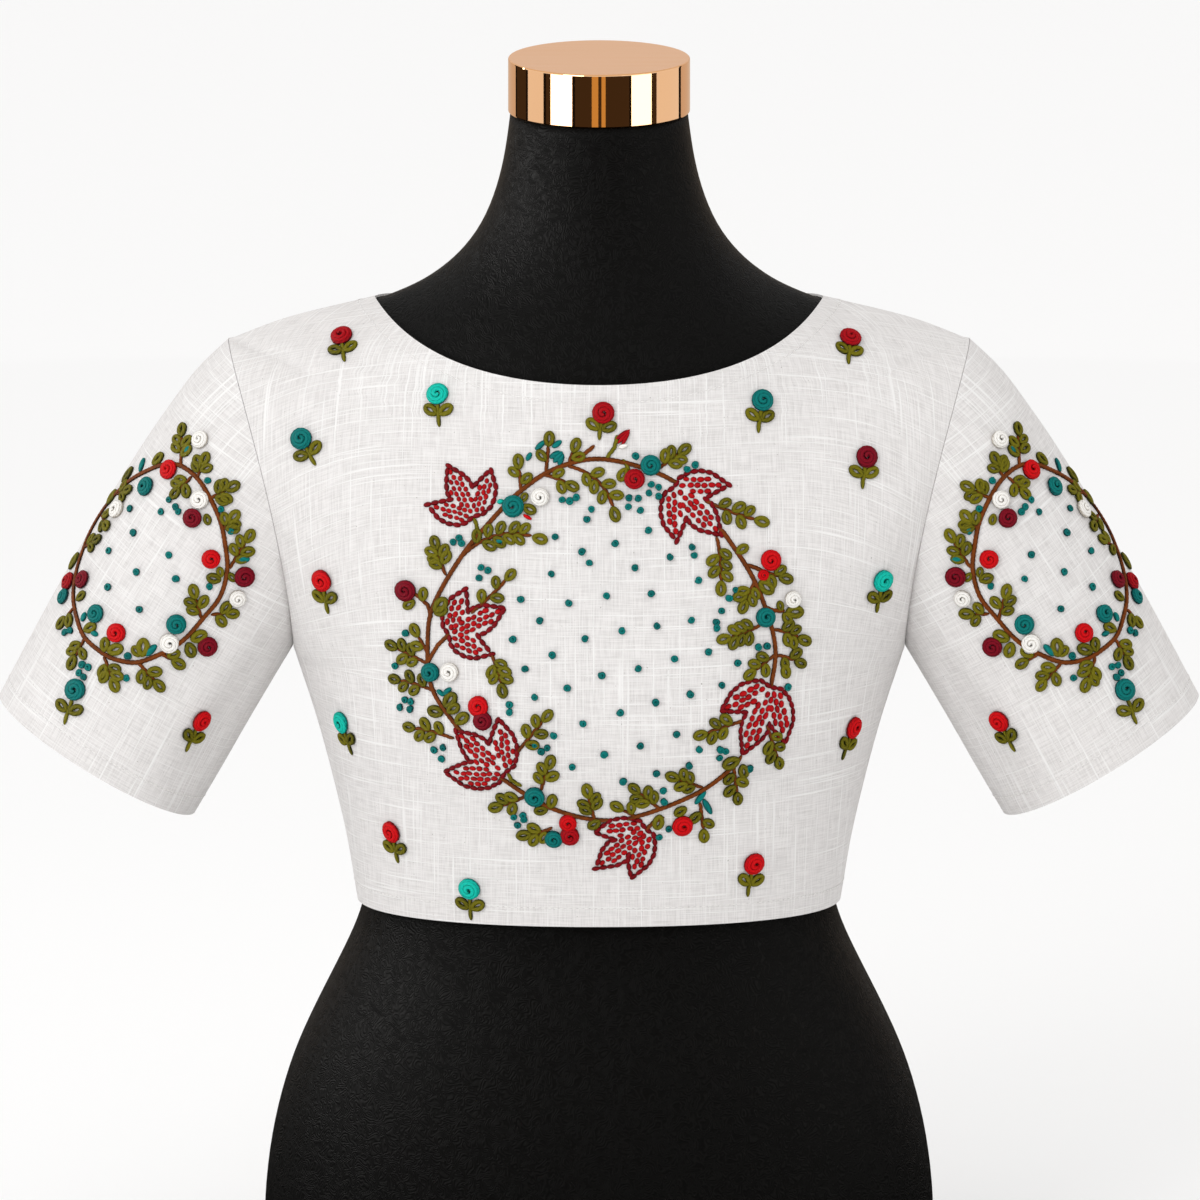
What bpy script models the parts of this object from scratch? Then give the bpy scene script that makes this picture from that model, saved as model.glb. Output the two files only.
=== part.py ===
"""Embroidered linen blouse worn on a limbless dress form.

Metres, +Z up. The front of the blouse faces -Y and the wearer's left is at +X.
The origin lies under the middle of the form's flat foot, on the surface that it stands on.

The blouse is cut as a front, two back halves, a lapped strip over the back opening and two
set-in sleeves. Each is a wall of its own, and neighbouring walls stop just short of each other
at the seams. A station runs up the body of the blouse: 0 is the hem, 1 the underarm,
2 the shoulder tip and 3 the neckline.
"""

import math
from collections import namedtuple

import bmesh
import bpy
import numpy as np

# Cloth
WALL = 0.0012  # thickness of the linen wall
SEAM_INSET = 0.00015  # each panel stops this far short of the seam line
MITRE_LIMIT = 1.8  # longest a wall may grow across the bisector of a seam

# Armhole, an upright oval that leans outward towards the shoulder tip
UNDERARM_HEIGHT = 0.3694
UNDERARM_HALF_WIDTH = 0.1681
TIP_HEIGHT = 0.5400
TIP_HALF_WIDTH = 0.2035
ARMHOLE_HALF_DEPTH = 0.0600
ARMHOLE_LEAN = 1.6  # how late the oval leans out on its way up

# Fullness that the bust gives to the front
BUST_HALF_SPACING = 0.078
BUST_HEIGHT = 0.350
BUST_RADIUS = 0.050
BUST_FULLNESS = 0.007
BUST_BRIDGE = 0.4  # how much of the hollow between the two sides the taut cloth follows

# Back opening
LAP_HALF_WIDTH = 0.010
LAP_LIFT = 0.0003  # gap between the lapped strip and the back halves

# Dress form
REST_GAP = 0.0005  # the cloth's inner side lies this far above the form's shoulders
REST_EASE = 0.0025  # and this much further off it at the chest and the shoulder blades
CAP_RADIUS = 0.0499
CAP_HEIGHT = 0.0300
CAP_EDGE = 0.0012
CAP_GAP = 0.0003

# Mesh density
COLUMNS = 24  # across the front, and across both back halves
ARMHOLE_STEPS = 12  # rows of the body along half an armhole
SLEEVE_STEPS = 9
CURVE_SAMPLES = 400
CAP_SIDES = 48

# Each row of a body panel is one smooth curve from its side edge to the centre line. It sets off towards the
# point near_x, near_y, near_z, and the handle says how long it runs straight across at the centre.
BodyRow = namedtuple("BodyRow", "station near_x near_y near_z handle depth height")
FRONT_ROWS = [
    BodyRow(0.00, 0.1331, 0.0600, 0.2290, 0.0800, 0.0990, 0.2314),  # hem
    BodyRow(0.45, 0.1455, 0.0680, 0.2920, 0.0900, 0.1110, 0.2950),  # under the bust
    BodyRow(0.80, 0.1575, 0.0690, 0.3340, 0.1000, 0.1190, 0.3480),  # bust
    BodyRow(1.00, 0.1650, 0.0690, 0.3560, 0.1030, 0.1170, 0.3850),  # underarm
    BodyRow(1.25, 0.1640, 0.0780, 0.3960, 0.0940, 0.1120, 0.4140),
    BodyRow(1.50, 0.1580, 0.0850, 0.4450, 0.0840, 0.1070, 0.4430),  # middle of the armhole
    BodyRow(1.75, 0.1590, 0.0680, 0.5020, 0.0780, 0.1020, 0.4720),
    BodyRow(2.00, 0.1700, 0.0460, 0.5380, 0.0760, 0.0980, 0.5000),  # shoulder tip
    BodyRow(2.40, 0.1510, 0.0400, 0.5485, 0.0780, 0.0945, 0.5150),
    BodyRow(3.00, 0.1140, 0.0420, 0.5580, 0.0880, 0.0910, 0.5330),  # neckline
]
BACK_ROWS = [
    BodyRow(0.00, 0.1331, 0.0580, 0.2280, 0.0800, 0.0960, 0.2290),
    BodyRow(0.45, 0.1455, 0.0630, 0.2910, 0.0900, 0.1030, 0.2930),
    BodyRow(0.80, 0.1575, 0.0660, 0.3330, 0.1000, 0.1110, 0.3500),
    BodyRow(1.00, 0.1650, 0.0690, 0.3560, 0.1030, 0.1150, 0.3880),
    BodyRow(1.25, 0.1650, 0.0790, 0.3970, 0.0960, 0.1170, 0.4200),
    BodyRow(1.50, 0.1600, 0.0860, 0.4470, 0.0900, 0.1160, 0.4520),
    BodyRow(1.75, 0.1600, 0.0690, 0.5040, 0.0850, 0.1110, 0.4830),
    BodyRow(2.00, 0.1680, 0.0420, 0.5430, 0.0780, 0.1040, 0.5130),
    BodyRow(2.40, 0.1530, 0.0410, 0.5490, 0.0700, 0.0950, 0.5280),
    BodyRow(3.00, 0.1190, 0.0460, 0.5600, 0.0640, 0.0840, 0.5450),
]

EdgeRow = namedtuple("EdgeRow", "station height half_width")
SIDE_SEAM = [
    EdgeRow(0.00, 0.2266, 0.1331),
    EdgeRow(0.26, 0.2634, 0.1392),
    EdgeRow(0.49, 0.2969, 0.1469),
    EdgeRow(0.69, 0.3250, 0.1542),
    EdgeRow(1.00, UNDERARM_HEIGHT, UNDERARM_HALF_WIDTH),
]
SHOULDER_SEAM = [
    EdgeRow(2.00, TIP_HEIGHT, TIP_HALF_WIDTH),
    EdgeRow(2.40, 0.5515, 0.1740),
    EdgeRow(3.00, 0.5640, 0.1232),
]

SleeveRow = namedtuple("SleeveRow", "share top_x top_z under_x under_z half_depth")
SLEEVE_ROWS = [
    SleeveRow(0.00, TIP_HALF_WIDTH, TIP_HEIGHT, UNDERARM_HALF_WIDTH, UNDERARM_HEIGHT, ARMHOLE_HALF_DEPTH),
    SleeveRow(0.10, 0.2200, 0.5240, 0.1738, 0.3598, 0.0615),
    SleeveRow(0.23, 0.2387, 0.4988, 0.1808, 0.3478, 0.0630),
    SleeveRow(0.45, 0.2669, 0.4549, 0.1928, 0.3270, 0.0635),
    SleeveRow(0.70, 0.2957, 0.4047, 0.2060, 0.3035, 0.0640),
    SleeveRow(1.00, 0.3300, 0.3402, 0.2222, 0.2755, 0.0640),
]

# Soft troughs of the sleeve, fanned out from the underarm. Angles in degrees round the sleeve, from the
# underarm at 0 by the front at 90 and the top at 180 to the back at 270.
Fold = namedtuple("Fold", "angle half_angle from_share to_share depth")
SLEEVE_FOLDS = [
    Fold(42, 13, 0.05, 0.95, 0.0030),
    Fold(76, 11, 0.10, 0.75, 0.0018),
    Fold(318, 13, 0.05, 0.85, 0.0030),
    Fold(284, 12, 0.12, 0.90, 0.0020),
]

FormRow = namedtuple(
    "FormRow", "side_height front_height back_height half_width front_depth back_depth squareness"
)
FORM_BELOW_SHOULDER = [
    FormRow(0.000, 0.000, 0.000, 0.1740, 0.1010, 0.1150, 2.25),  # flat foot
    FormRow(0.003, 0.003, 0.003, 0.1785, 0.1050, 0.1190, 2.25),
    FormRow(0.010, 0.010, 0.010, 0.1815, 0.1075, 0.1215, 2.25),
    FormRow(0.030, 0.030, 0.030, 0.1845, 0.1100, 0.1240, 2.25),
    FormRow(0.056, 0.056, 0.056, 0.1855, 0.1110, 0.1250, 2.25),  # hip
    FormRow(0.092, 0.092, 0.092, 0.1815, 0.1110, 0.1235, 2.25),
    FormRow(0.124, 0.124, 0.124, 0.1738, 0.1080, 0.1190, 2.25),
    FormRow(0.150, 0.150, 0.150, 0.1642, 0.1040, 0.1125, 2.25),
    FormRow(0.179, 0.179, 0.179, 0.1498, 0.0985, 0.1035, 2.25),
    FormRow(0.202, 0.202, 0.202, 0.1382, 0.0945, 0.0965, 2.25),
    FormRow(0.222, 0.224, 0.223, 0.1300, 0.0920, 0.0915, 2.25),
    FormRow(0.242, 0.246, 0.244, 0.1275, 0.0925, 0.0895, 2.25),  # waist
    FormRow(0.268, 0.272, 0.270, 0.1310, 0.0975, 0.0915, 2.28),
    FormRow(0.298, 0.302, 0.300, 0.1390, 0.1050, 0.0955, 2.32),
    FormRow(0.334, 0.342, 0.340, 0.1490, 0.1110, 0.1020, 2.40),  # bust
    FormRow(0.372, 0.385, 0.388, 0.1560, 0.1090, 0.1060, 2.50),
    FormRow(0.412, 0.415, 0.422, 0.1580, 0.1040, 0.1060, 2.60),
    FormRow(0.455, 0.443, 0.452, 0.1610, 0.0980, 0.1040, 2.55),  # middle of the arm plate
    FormRow(0.494, 0.466, 0.480, 0.1680, 0.0900, 0.0965, 2.35),
    FormRow(0.524, 0.486, 0.500, 0.1760, 0.0850, 0.0890, 2.15),
]
SHOULDER_STATIONS = (2.25, 2.5, 2.75, 3.0)  # here the form carries the blouse
FORM_NECK = [
    FormRow(0.5712, 0.5520, 0.5590, 0.1008, 0.0790, 0.0750, 2.10),
    FormRow(0.5782, 0.5625, 0.5675, 0.0895, 0.0735, 0.0710, 2.08),
    FormRow(0.5880, 0.5760, 0.5790, 0.0772, 0.0664, 0.0658, 2.05),
    FormRow(0.6040, 0.5970, 0.5985, 0.0645, 0.0580, 0.0580, 2.00),
    FormRow(0.6253, 0.6240, 0.6240, 0.0560, 0.0526, 0.0526, 2.00),
    FormRow(0.6460, 0.6460, 0.6460, 0.0514, 0.0500, 0.0500, 2.00),
    FormRow(0.6674, 0.6674, 0.6674, 0.0488, 0.0488, 0.0488, 2.00),
]

FRONT, BACK = -1.0, 1.0
MIRROR = np.array([-1.0, 1.0, 1.0])


def read(table, column, at):
    """The named column of a table at a value of its first column, on a smooth curve through its rows."""
    known = np.array([row[0] for row in table])
    values = np.array([getattr(row, column) for row in table])
    slopes = np.gradient(values, known)
    i = int(np.clip(np.searchsorted(known, at) - 1, 0, len(known) - 2))
    span = known[i + 1] - known[i]
    t = (at - known[i]) / span
    return (
        (2 * t**3 - 3 * t**2 + 1) * values[i]
        + (t**3 - 2 * t**2 + t) * span * slopes[i]
        + (3 * t**2 - 2 * t**3) * values[i + 1]
        + (t**3 - t**2) * span * slopes[i + 1]
    )


def evenly_spaced(curve, count):
    """The curve again, as count equal steps along its length."""
    steps = np.linalg.norm(np.diff(curve, axis=0), axis=1)
    along = np.concatenate([[0.0], np.cumsum(steps)])
    wanted = np.linspace(0.0, along[-1], count + 1)
    return np.stack([np.interp(wanted, along, curve[:, k]) for k in range(3)], axis=1)


def unit(vectors):
    return vectors / np.linalg.norm(vectors, axis=-1, keepdims=True)


def armhole_point(turn):
    """A point of the +X armhole: turn 0 at the underarm, pi at the shoulder tip, the front between them."""
    rise = (1.0 - math.cos(turn)) / 2.0
    lean = (TIP_HALF_WIDTH - UNDERARM_HALF_WIDTH) * rise**ARMHOLE_LEAN
    height = UNDERARM_HEIGHT + (TIP_HEIGHT - UNDERARM_HEIGHT) * rise
    return np.array([UNDERARM_HALF_WIDTH + lean, FRONT * ARMHOLE_HALF_DEPTH * math.sin(turn), height])


def body_edge(station):
    """Half width, depth and height of a body panel's side edge: side seam, armhole, then shoulder seam."""
    if station <= 1.0:
        return read(SIDE_SEAM, "half_width", station), 0.0, read(SIDE_SEAM, "height", station)
    if station < 2.0:
        x, y, z = armhole_point((station - 1.0) * math.pi)
        return x, abs(y), z
    return read(SHOULDER_SEAM, "half_width", station), 0.0, read(SHOULDER_SEAM, "height", station)


def quarter_section(edge, depth, height, squareness):
    """A quarter of a rounded level section, from its side edge to the centre line."""
    edge_x, edge_z = edge
    power = 2.0 / squareness
    angles = np.linspace(0.0, math.pi / 2, CURVE_SAMPLES)
    across = edge_x * np.cos(angles) ** power
    across[-1] = 0.0
    deep = depth * np.sin(angles) ** power
    up = edge_z + (height - edge_z) * deep / depth
    return np.stack([across, deep, up], axis=1)


def body_curve(station, table):
    """The curve of a body row, from its side edge to the centre line, with depth counted positive."""
    near_x, near_y, near_z, handle, depth, height = (
        read(table, name, station) for name in BodyRow._fields[1:]
    )
    edge = np.array(body_edge(station))
    near_edge = np.array([near_x, near_y, near_z])
    centre = np.array([0.0, depth, height])
    near_centre = centre + (handle, 0.0, 0.0)
    t = np.linspace(0.0, 1.0, CURVE_SAMPLES)[:, None]
    return (
        (1 - t) ** 3 * edge
        + 3 * t * (1 - t) ** 2 * near_edge
        + 3 * t**2 * (1 - t) * near_centre
        + t**3 * centre
    )


def bust_swell(x, z):
    """How far the bust pushes the front out."""
    beyond = np.abs(x) - BUST_HALF_SPACING
    across = np.where(beyond > 0.0, beyond, BUST_BRIDGE * beyond)
    return BUST_FULLNESS * np.exp(-(across**2 + (z - BUST_HEIGHT) ** 2) / (2 * BUST_RADIUS**2))


def body_row(station, face):
    """One row of the front or back panel, from its -X edge to its +X edge."""
    half = evenly_spaced(body_curve(station, FRONT_ROWS if face == FRONT else BACK_ROWS), COLUMNS // 2)
    row = np.concatenate([half * MIRROR, half[-2::-1]])
    if face == FRONT:
        share = np.clip(row[:, 1] / read(FRONT_ROWS, "depth", station), 0.0, 1.0) ** 2
        row[:, 1] += bust_swell(row[:, 0], row[:, 2]) * share
    row[:, 1] *= face
    return row


def body_stations():
    below = np.linspace(0.0, 1.0, 8)[:-1]
    armhole = 1.0 + np.linspace(0.0, 1.0, ARMHOLE_STEPS + 1)
    above = np.array(SHOULDER_STATIONS)
    return np.concatenate([below, armhole, above])


def sleeve_fold(turn, share):
    """Depth of the sleeve's soft troughs."""
    degrees = math.degrees(turn) % 360.0
    depth = 0.0
    for fold in SLEEVE_FOLDS:
        away = (degrees - fold.angle) / fold.half_angle
        along = (share - fold.from_share) / (fold.to_share - fold.from_share)
        if 0.0 < along < 1.0:
            depth += fold.depth * math.exp(-(away**2)) * math.sin(math.pi * along) ** 0.8
    return depth


def sleeve_point(turn, share):
    """A point of the +X sleeve: turn as on the armhole and on round the back, share from armhole to cuff."""
    top_x, top_z, under_x, under_z, half_depth = (
        read(SLEEVE_ROWS, name, share) for name in SleeveRow._fields[1:]
    )
    trough = 1.0 - sleeve_fold(turn, share) / half_depth
    middle = np.array([top_x + under_x, top_z + under_z]) / 2
    reach = np.array([top_x - under_x, top_z - under_z]) / 2
    x, z = middle - reach * math.cos(turn) * trough
    y = FRONT * half_depth * math.sin(turn) * trough
    seam_x = armhole_point(min(turn, 2 * math.pi - turn))[0]
    flat_x = (TIP_HALF_WIDTH + UNDERARM_HALF_WIDTH) / 2
    flat_x -= (TIP_HALF_WIDTH - UNDERARM_HALF_WIDTH) / 2 * math.cos(turn)
    x += (1.0 - share) ** 3 * (seam_x - flat_x)
    return np.array([x, y, z])


def body_grid(face):
    return np.array([body_row(station, face) for station in body_stations()])


def sleeve_grid():
    """Rows run along the sleeve and columns round it."""
    turns = np.linspace(0.0, 2 * math.pi, 2 * ARMHOLE_STEPS + 1)[:-1]
    shares = np.linspace(0.0, 1.0, SLEEVE_STEPS + 1)
    return np.array([[sleeve_point(turn, share) for turn in turns] for share in shares])


def outward(grid, flip, ring=False):
    """Unit normals of a grid of points. A ring closes on itself across its columns."""
    if ring:
        across = np.roll(grid, -1, axis=1) - np.roll(grid, 1, axis=1)
    else:
        across = np.gradient(grid, axis=1)
    up = np.gradient(grid, axis=0)
    return unit(np.cross(across, up) * (-1.0 if flip else 1.0))


def seams():
    """The four seams of the +X side, each an ordered list of the places that it joins: panel, row, column."""
    stations = list(body_stations())
    underarm = stations.index(1.0)
    tip = underarm + ARMHOLE_STEPS
    side = [(("front", row, -1), ("back", row, -1)) for row in range(underarm + 1)]
    shoulder = [(("front", row, -1), ("back", row, -1)) for row in range(tip, len(stations))]
    steps = range(ARMHOLE_STEPS + 1)
    front_armhole = [(("front", underarm + step, -1), ("sleeve", 0, step)) for step in steps]
    back_armhole = [(("back", underarm + step, -1), ("sleeve", 0, -step)) for step in steps]
    return [side, shoulder, front_armhole, back_armhole]


def walls_of(grids):
    """Outer and inner points of each panel, mitred where panels meet so that neighbours stop just short."""
    normals = {
        "front": outward(grids["front"], flip=False),
        "back": outward(grids["back"], flip=True),
        "sleeve": outward(grids["sleeve"], flip=True, ring=True),
    }
    inward = {name: -WALL * normal for name, normal in normals.items()}
    outer = {name: grid.copy() for name, grid in grids.items()}

    def spot(place):
        return tuple(np.round(grids[place[0]][place[1:]], 6))

    meeting = {}
    for seam in seams():
        for places in seam:
            meeting.setdefault(spot(places[0]), set()).update(places)
    shared = {}
    for where, places in meeting.items():
        body = [normals[name][i, j] for name, i, j in sorted(places) if name != "sleeve"]
        sleeve = [normals[name][i, j] for name, i, j in places if name == "sleeve"]
        shared[where] = unit(sum([unit(sum(body))] + sleeve))
        for name, i, j in places:
            facing = max(float(shared[where] @ normals[name][i, j]), 1.0 / MITRE_LIMIT)
            inward[name][i, j] = -WALL / facing * shared[where]

    for seam in seams():
        points = np.array([grids[places[0][0]][places[0][1:]] for places in seam])
        mitre = unit(np.cross(np.gradient(points, axis=0), [shared[spot(places[0])] for places in seam]))
        for places, across in zip(seam, mitre):
            for name, i, j in places:
                inside = (i + 1, j) if name == "sleeve" else (i, -2)
                side = math.copysign(1.0, across @ (grids[name][inside] - grids[name][i, j]))
                outer[name][i, j] += side * SEAM_INSET * across

    for name in ("front", "back"):
        outer[name][:, 0] = outer[name][:, -1] * MIRROR
        inward[name][:, 0] = inward[name][:, -1] * MIRROR
    return {name: (outer[name], outer[name] + inward[name]) for name in grids}


def material(name, colour, roughness, metallic=0.0):
    made = bpy.data.materials.new(name)
    made.use_nodes = True
    surface = made.node_tree.nodes["Principled BSDF"]
    surface.inputs["Base Color"].default_value = (*colour, 1.0)
    surface.inputs["Roughness"].default_value = roughness
    surface.inputs["Metallic"].default_value = metallic
    return made


def add_object(name, mesh_maker, finish, smooth_angle=40.0):
    mesh = bpy.data.meshes.new(name)
    mesh_maker.normal_update()
    mesh_maker.to_mesh(mesh)
    mesh_maker.free()
    mesh.materials.append(finish)
    mesh.shade_smooth()
    mesh.set_sharp_from_angle(angle=math.radians(smooth_angle))
    made = bpy.data.objects.new(name, mesh)
    bpy.context.scene.collection.objects.link(made)
    return made


def wall_solid(name, outer, inner, finish, ring=False, reverse=False):
    """A closed wall between two grids of points, open in the middle where the grid is a ring."""
    bm = bmesh.new()
    rows, columns = outer.shape[:2]
    skins = [[[bm.verts.new(point) for point in row] for row in grid] for grid in (outer, inner)]
    spans = columns if ring else columns - 1

    def face(*corners):
        bm.faces.new(corners if not reverse else corners[::-1])

    for i in range(rows - 1):
        for j in range(spans):
            k = (j + 1) % columns
            for skin, (near, far) in zip(skins, ((j, k), (k, j))):
                face(skin[i][near], skin[i][far], skin[i + 1][far], skin[i + 1][near])
    for j in range(spans):
        k = (j + 1) % columns
        for i, (near, far) in ((0, (k, j)), (rows - 1, (j, k))):
            face(skins[0][i][near], skins[0][i][far], skins[1][i][far], skins[1][i][near])
    if not ring:
        for i in range(rows - 1):
            for j, (low, high) in ((0, (i, i + 1)), (columns - 1, (i + 1, i))):
                face(skins[0][low][j], skins[0][high][j], skins[1][high][j], skins[1][low][j])
    return add_object(name, bm, finish)


def cloth_pieces(linen):
    """Front, back halves, lapped strip and sleeves."""
    grids = {"front": body_grid(FRONT), "back": body_grid(BACK), "sleeve": sleeve_grid()}
    walls = walls_of(grids)
    middle = COLUMNS // 2

    wall_solid("blouse_front", *walls["front"], linen)
    for name, half, towards in (
        ("blouse_back_right", slice(0, middle + 1), -1.0),
        ("blouse_back_left", slice(middle, None), 1.0),
    ):
        outer, inner = (grid[:, half].copy() for grid in walls["back"])
        opening = middle if towards < 0 else 0
        for skin in (outer, inner):
            skin[:, opening, 0] += towards * SEAM_INSET
        wall_solid(name, outer, inner, linen, reverse=True)

    outer, inner = walls["sleeve"]
    wall_solid("sleeve_left", outer, inner, linen, ring=True, reverse=True)
    wall_solid("sleeve_right", outer * MIRROR, inner * MIRROR, linen, ring=True)

    lap_strip(grids["back"], linen)


def lap_strip(back, linen):
    """The strip that laps over the back opening, laid on the back's own points and moved out."""
    middle = COLUMNS // 2
    normal = outward(back, flip=True)[:, middle : middle + 1]
    spacing = np.linalg.norm(back[:, middle + 1] - back[:, middle], axis=1)[:, None]
    share = LAP_HALF_WIDTH / spacing
    centre = back[:, middle]
    left = centre + (back[:, middle + 1] - centre) * share
    right = centre + (back[:, middle - 1] - centre) * share
    strip = np.stack([right, centre, left], axis=1)
    wall_solid("back_lap", strip + normal * (LAP_LIFT + WALL), strip + normal * LAP_LIFT, linen, reverse=True)


def form_ring(row):
    """One level ring of the dress form, starting at its -X side and running by the front."""
    halves = []
    for face, depth, height in (
        (FRONT, row.front_depth, row.front_height),
        (BACK, row.back_depth, row.back_height),
    ):
        quarter = quarter_section((row.half_width, row.side_height), depth, height, row.squareness)
        quarter = evenly_spaced(quarter, COLUMNS // 2)
        if face == FRONT:
            share = (quarter[:, 1] / depth) ** 2
            quarter[:, 1] += bust_swell(quarter[:, 0], quarter[:, 2]) * share
        quarter[:, 1] *= face
        halves.append(np.concatenate([quarter * MIRROR, quarter[-2::-1]]))
    front, back = halves
    return np.concatenate([front[:-1], back[:0:-1]])


def resting_rings():
    """The form's shoulder rings: the blouse's own rows there, moved in by its wall and a small gap."""
    front, back = body_grid(FRONT), body_grid(BACK)
    front_normal, back_normal = outward(front, flip=False), outward(back, flip=True)
    rings = []
    for row in range(len(front) - len(SHOULDER_STATIONS), len(front)):
        for column in (0, -1):
            shared = unit(front_normal[row, column] + back_normal[row, column])
            front_normal[row, column] = back_normal[row, column] = shared
        halves = []
        for grid, normal in ((front, front_normal), (back, back_normal)):
            away = np.abs(grid[row, :, 1:2]) / np.abs(grid[row, :, 1]).max()
            halves.append(grid[row] - normal[row] * (WALL + REST_GAP + REST_EASE * away))
        rings.append(np.concatenate([halves[0][:-1], halves[1][:0:-1]]))
    return rings


def dress_form(leatherette):
    """The limbless torso, one closed body from its flat foot to the top of its neck."""
    rings = [form_ring(row) for row in FORM_BELOW_SHOULDER]
    rings += resting_rings()
    rings += [form_ring(row) for row in FORM_NECK]
    bm = bmesh.new()
    levels = [[bm.verts.new(point) for point in ring] for ring in rings]
    around = len(levels[0])
    for low, high in zip(levels, levels[1:]):
        for j in range(around):
            k = (j + 1) % around
            bm.faces.new((low[j], low[k], high[k], high[j]))
    bm.faces.new(levels[0][::-1])
    bm.faces.new(levels[-1])
    return add_object("dress_form", bm, leatherette)


def neck_cap(metal):
    """The polished disc that closes the neck."""
    foot = FORM_NECK[-1].side_height + CAP_GAP
    bm = bmesh.new()
    bmesh.ops.create_cone(
        bm, cap_ends=True, segments=CAP_SIDES, radius1=CAP_RADIUS, radius2=CAP_RADIUS, depth=CAP_HEIGHT
    )
    bmesh.ops.translate(bm, verts=bm.verts, vec=(0.0, 0.0, foot + CAP_HEIGHT / 2))
    top = foot + CAP_HEIGHT - CAP_EDGE / 2
    rim = [edge for edge in bm.edges if all(vert.co.z > top for vert in edge.verts)]
    bmesh.ops.bevel(bm, geom=rim, offset=CAP_EDGE, segments=2, profile=0.5, affect="EDGES")
    return add_object("neck_cap", bm, metal)


for old in list(bpy.data.objects):
    bpy.data.objects.remove(old)

cloth_pieces(material("white_linen", (0.86, 0.85, 0.84), 0.85))
dress_form(material("black_leatherette", (0.018, 0.017, 0.016), 0.45))
neck_cap(material("rose_gold", (0.83, 0.53, 0.32), 0.12, 1.0))
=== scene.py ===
"""Looks of the embroidered linen blouse on its dress form.

Metres, in the frame of the CAD model: +Z up, the front of the blouse faces -Y, the wearer's left is at +X.
"""

import math
import random
from collections import namedtuple

import bmesh
import bpy
import numpy as np
from mathutils import Matrix, Vector
from mathutils.bvhtree import BVHTree


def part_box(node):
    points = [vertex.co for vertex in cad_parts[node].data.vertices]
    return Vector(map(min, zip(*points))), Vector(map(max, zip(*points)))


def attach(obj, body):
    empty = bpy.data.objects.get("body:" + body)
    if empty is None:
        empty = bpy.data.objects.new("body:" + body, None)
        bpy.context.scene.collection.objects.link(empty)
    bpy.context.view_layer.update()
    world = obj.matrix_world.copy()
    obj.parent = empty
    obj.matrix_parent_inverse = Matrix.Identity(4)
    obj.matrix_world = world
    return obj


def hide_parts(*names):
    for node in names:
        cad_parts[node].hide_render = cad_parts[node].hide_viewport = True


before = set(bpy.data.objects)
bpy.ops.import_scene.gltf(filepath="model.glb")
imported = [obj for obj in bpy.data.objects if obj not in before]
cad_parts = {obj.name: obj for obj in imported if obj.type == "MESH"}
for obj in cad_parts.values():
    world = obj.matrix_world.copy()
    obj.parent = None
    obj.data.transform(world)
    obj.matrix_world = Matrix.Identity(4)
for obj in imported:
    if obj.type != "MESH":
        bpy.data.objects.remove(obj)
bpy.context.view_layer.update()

# Studio. A plain white floor, a white surround and two soft boxes: a large one in front on the left and a
# weaker one on the right. The camera stands far off and looks down by 12 degrees, as in the photograph.
VIEW_TILT = math.radians(12.0)
VIEW_RIGHT = Vector((1.0, 0.0, 0.0))
VIEW_UP = Vector((0.0, math.sin(VIEW_TILT), math.cos(VIEW_TILT)))
VIEW_AHEAD = Vector((0.0, math.cos(VIEW_TILT), -math.sin(VIEW_TILT)))
FRAME_WIDTH = 0.660
FRAME_MIDDLE = Vector((0.0005, 0.0, 0.3936))
LENS = 1100.0
SENSOR = 36.0
FLOOR_SIZE = 14.0
CHEST = (0.0, 0.0, 0.40)


def aimed(name, data, place, at):
    """An object at the place, with its -Z side turned to the point."""
    made = bpy.data.objects.new(name, data)
    bpy.context.scene.collection.objects.link(made)
    made.location = place
    made.rotation_euler = (Vector(at) - Vector(place)).to_track_quat("-Z", "Y").to_euler()
    return made


def soft_box(name, place, size, power):
    """A square soft light, turned to the chest."""
    lamp = bpy.data.lights.new(name, "AREA")
    lamp.shape = "SQUARE"
    lamp.size = size
    lamp.energy = power
    aimed(name, lamp, place, CHEST)


camera_data = bpy.data.cameras.new("camera")
camera_data.lens = LENS
camera_data.sensor_width = SENSOR
camera_data.clip_end = 100.0
camera_distance = FRAME_WIDTH * LENS / SENSOR
camera = aimed("camera", camera_data, FRAME_MIDDLE - VIEW_AHEAD * camera_distance, FRAME_MIDDLE)
bpy.context.scene.camera = camera

soft_box("key_light", (-1.5, -2.3, 1.9), size=1.4, power=26.0)
soft_box("fill_light", (2.0, -2.0, 1.5), size=1.6, power=2.0)

world = bpy.data.worlds.new("studio")
world.use_nodes = True
bpy.context.scene.world = world
bpy.context.scene.view_settings.view_transform = "Standard"


def feed(made, inputs):
    """Sets a node's inputs to values, or joins them to other nodes' outputs."""
    for name, value in inputs.items():
        if isinstance(value, bpy.types.NodeSocket):
            made.id_data.links.new(value, made.inputs[name])
        else:
            made.inputs[name].default_value = value


feed(world.node_tree.nodes["Background"], {"Color": (1.0, 0.995, 0.99, 1.0), "Strength": 0.98})


def finish(name, colour, roughness, metallic=0.0, gloss=0.5):
    """A material, its node tree and its Principled BSDF."""
    made = bpy.data.materials.new(name)
    made.use_nodes = True
    made.diffuse_color = (*colour, 1.0)
    surface = made.node_tree.nodes["Principled BSDF"]
    feed(surface, {"Base Color": (*colour, 1.0), "Roughness": roughness, "Metallic": metallic})
    feed(surface, {"Specular IOR Level": gloss})
    return made, made.node_tree, surface


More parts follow.
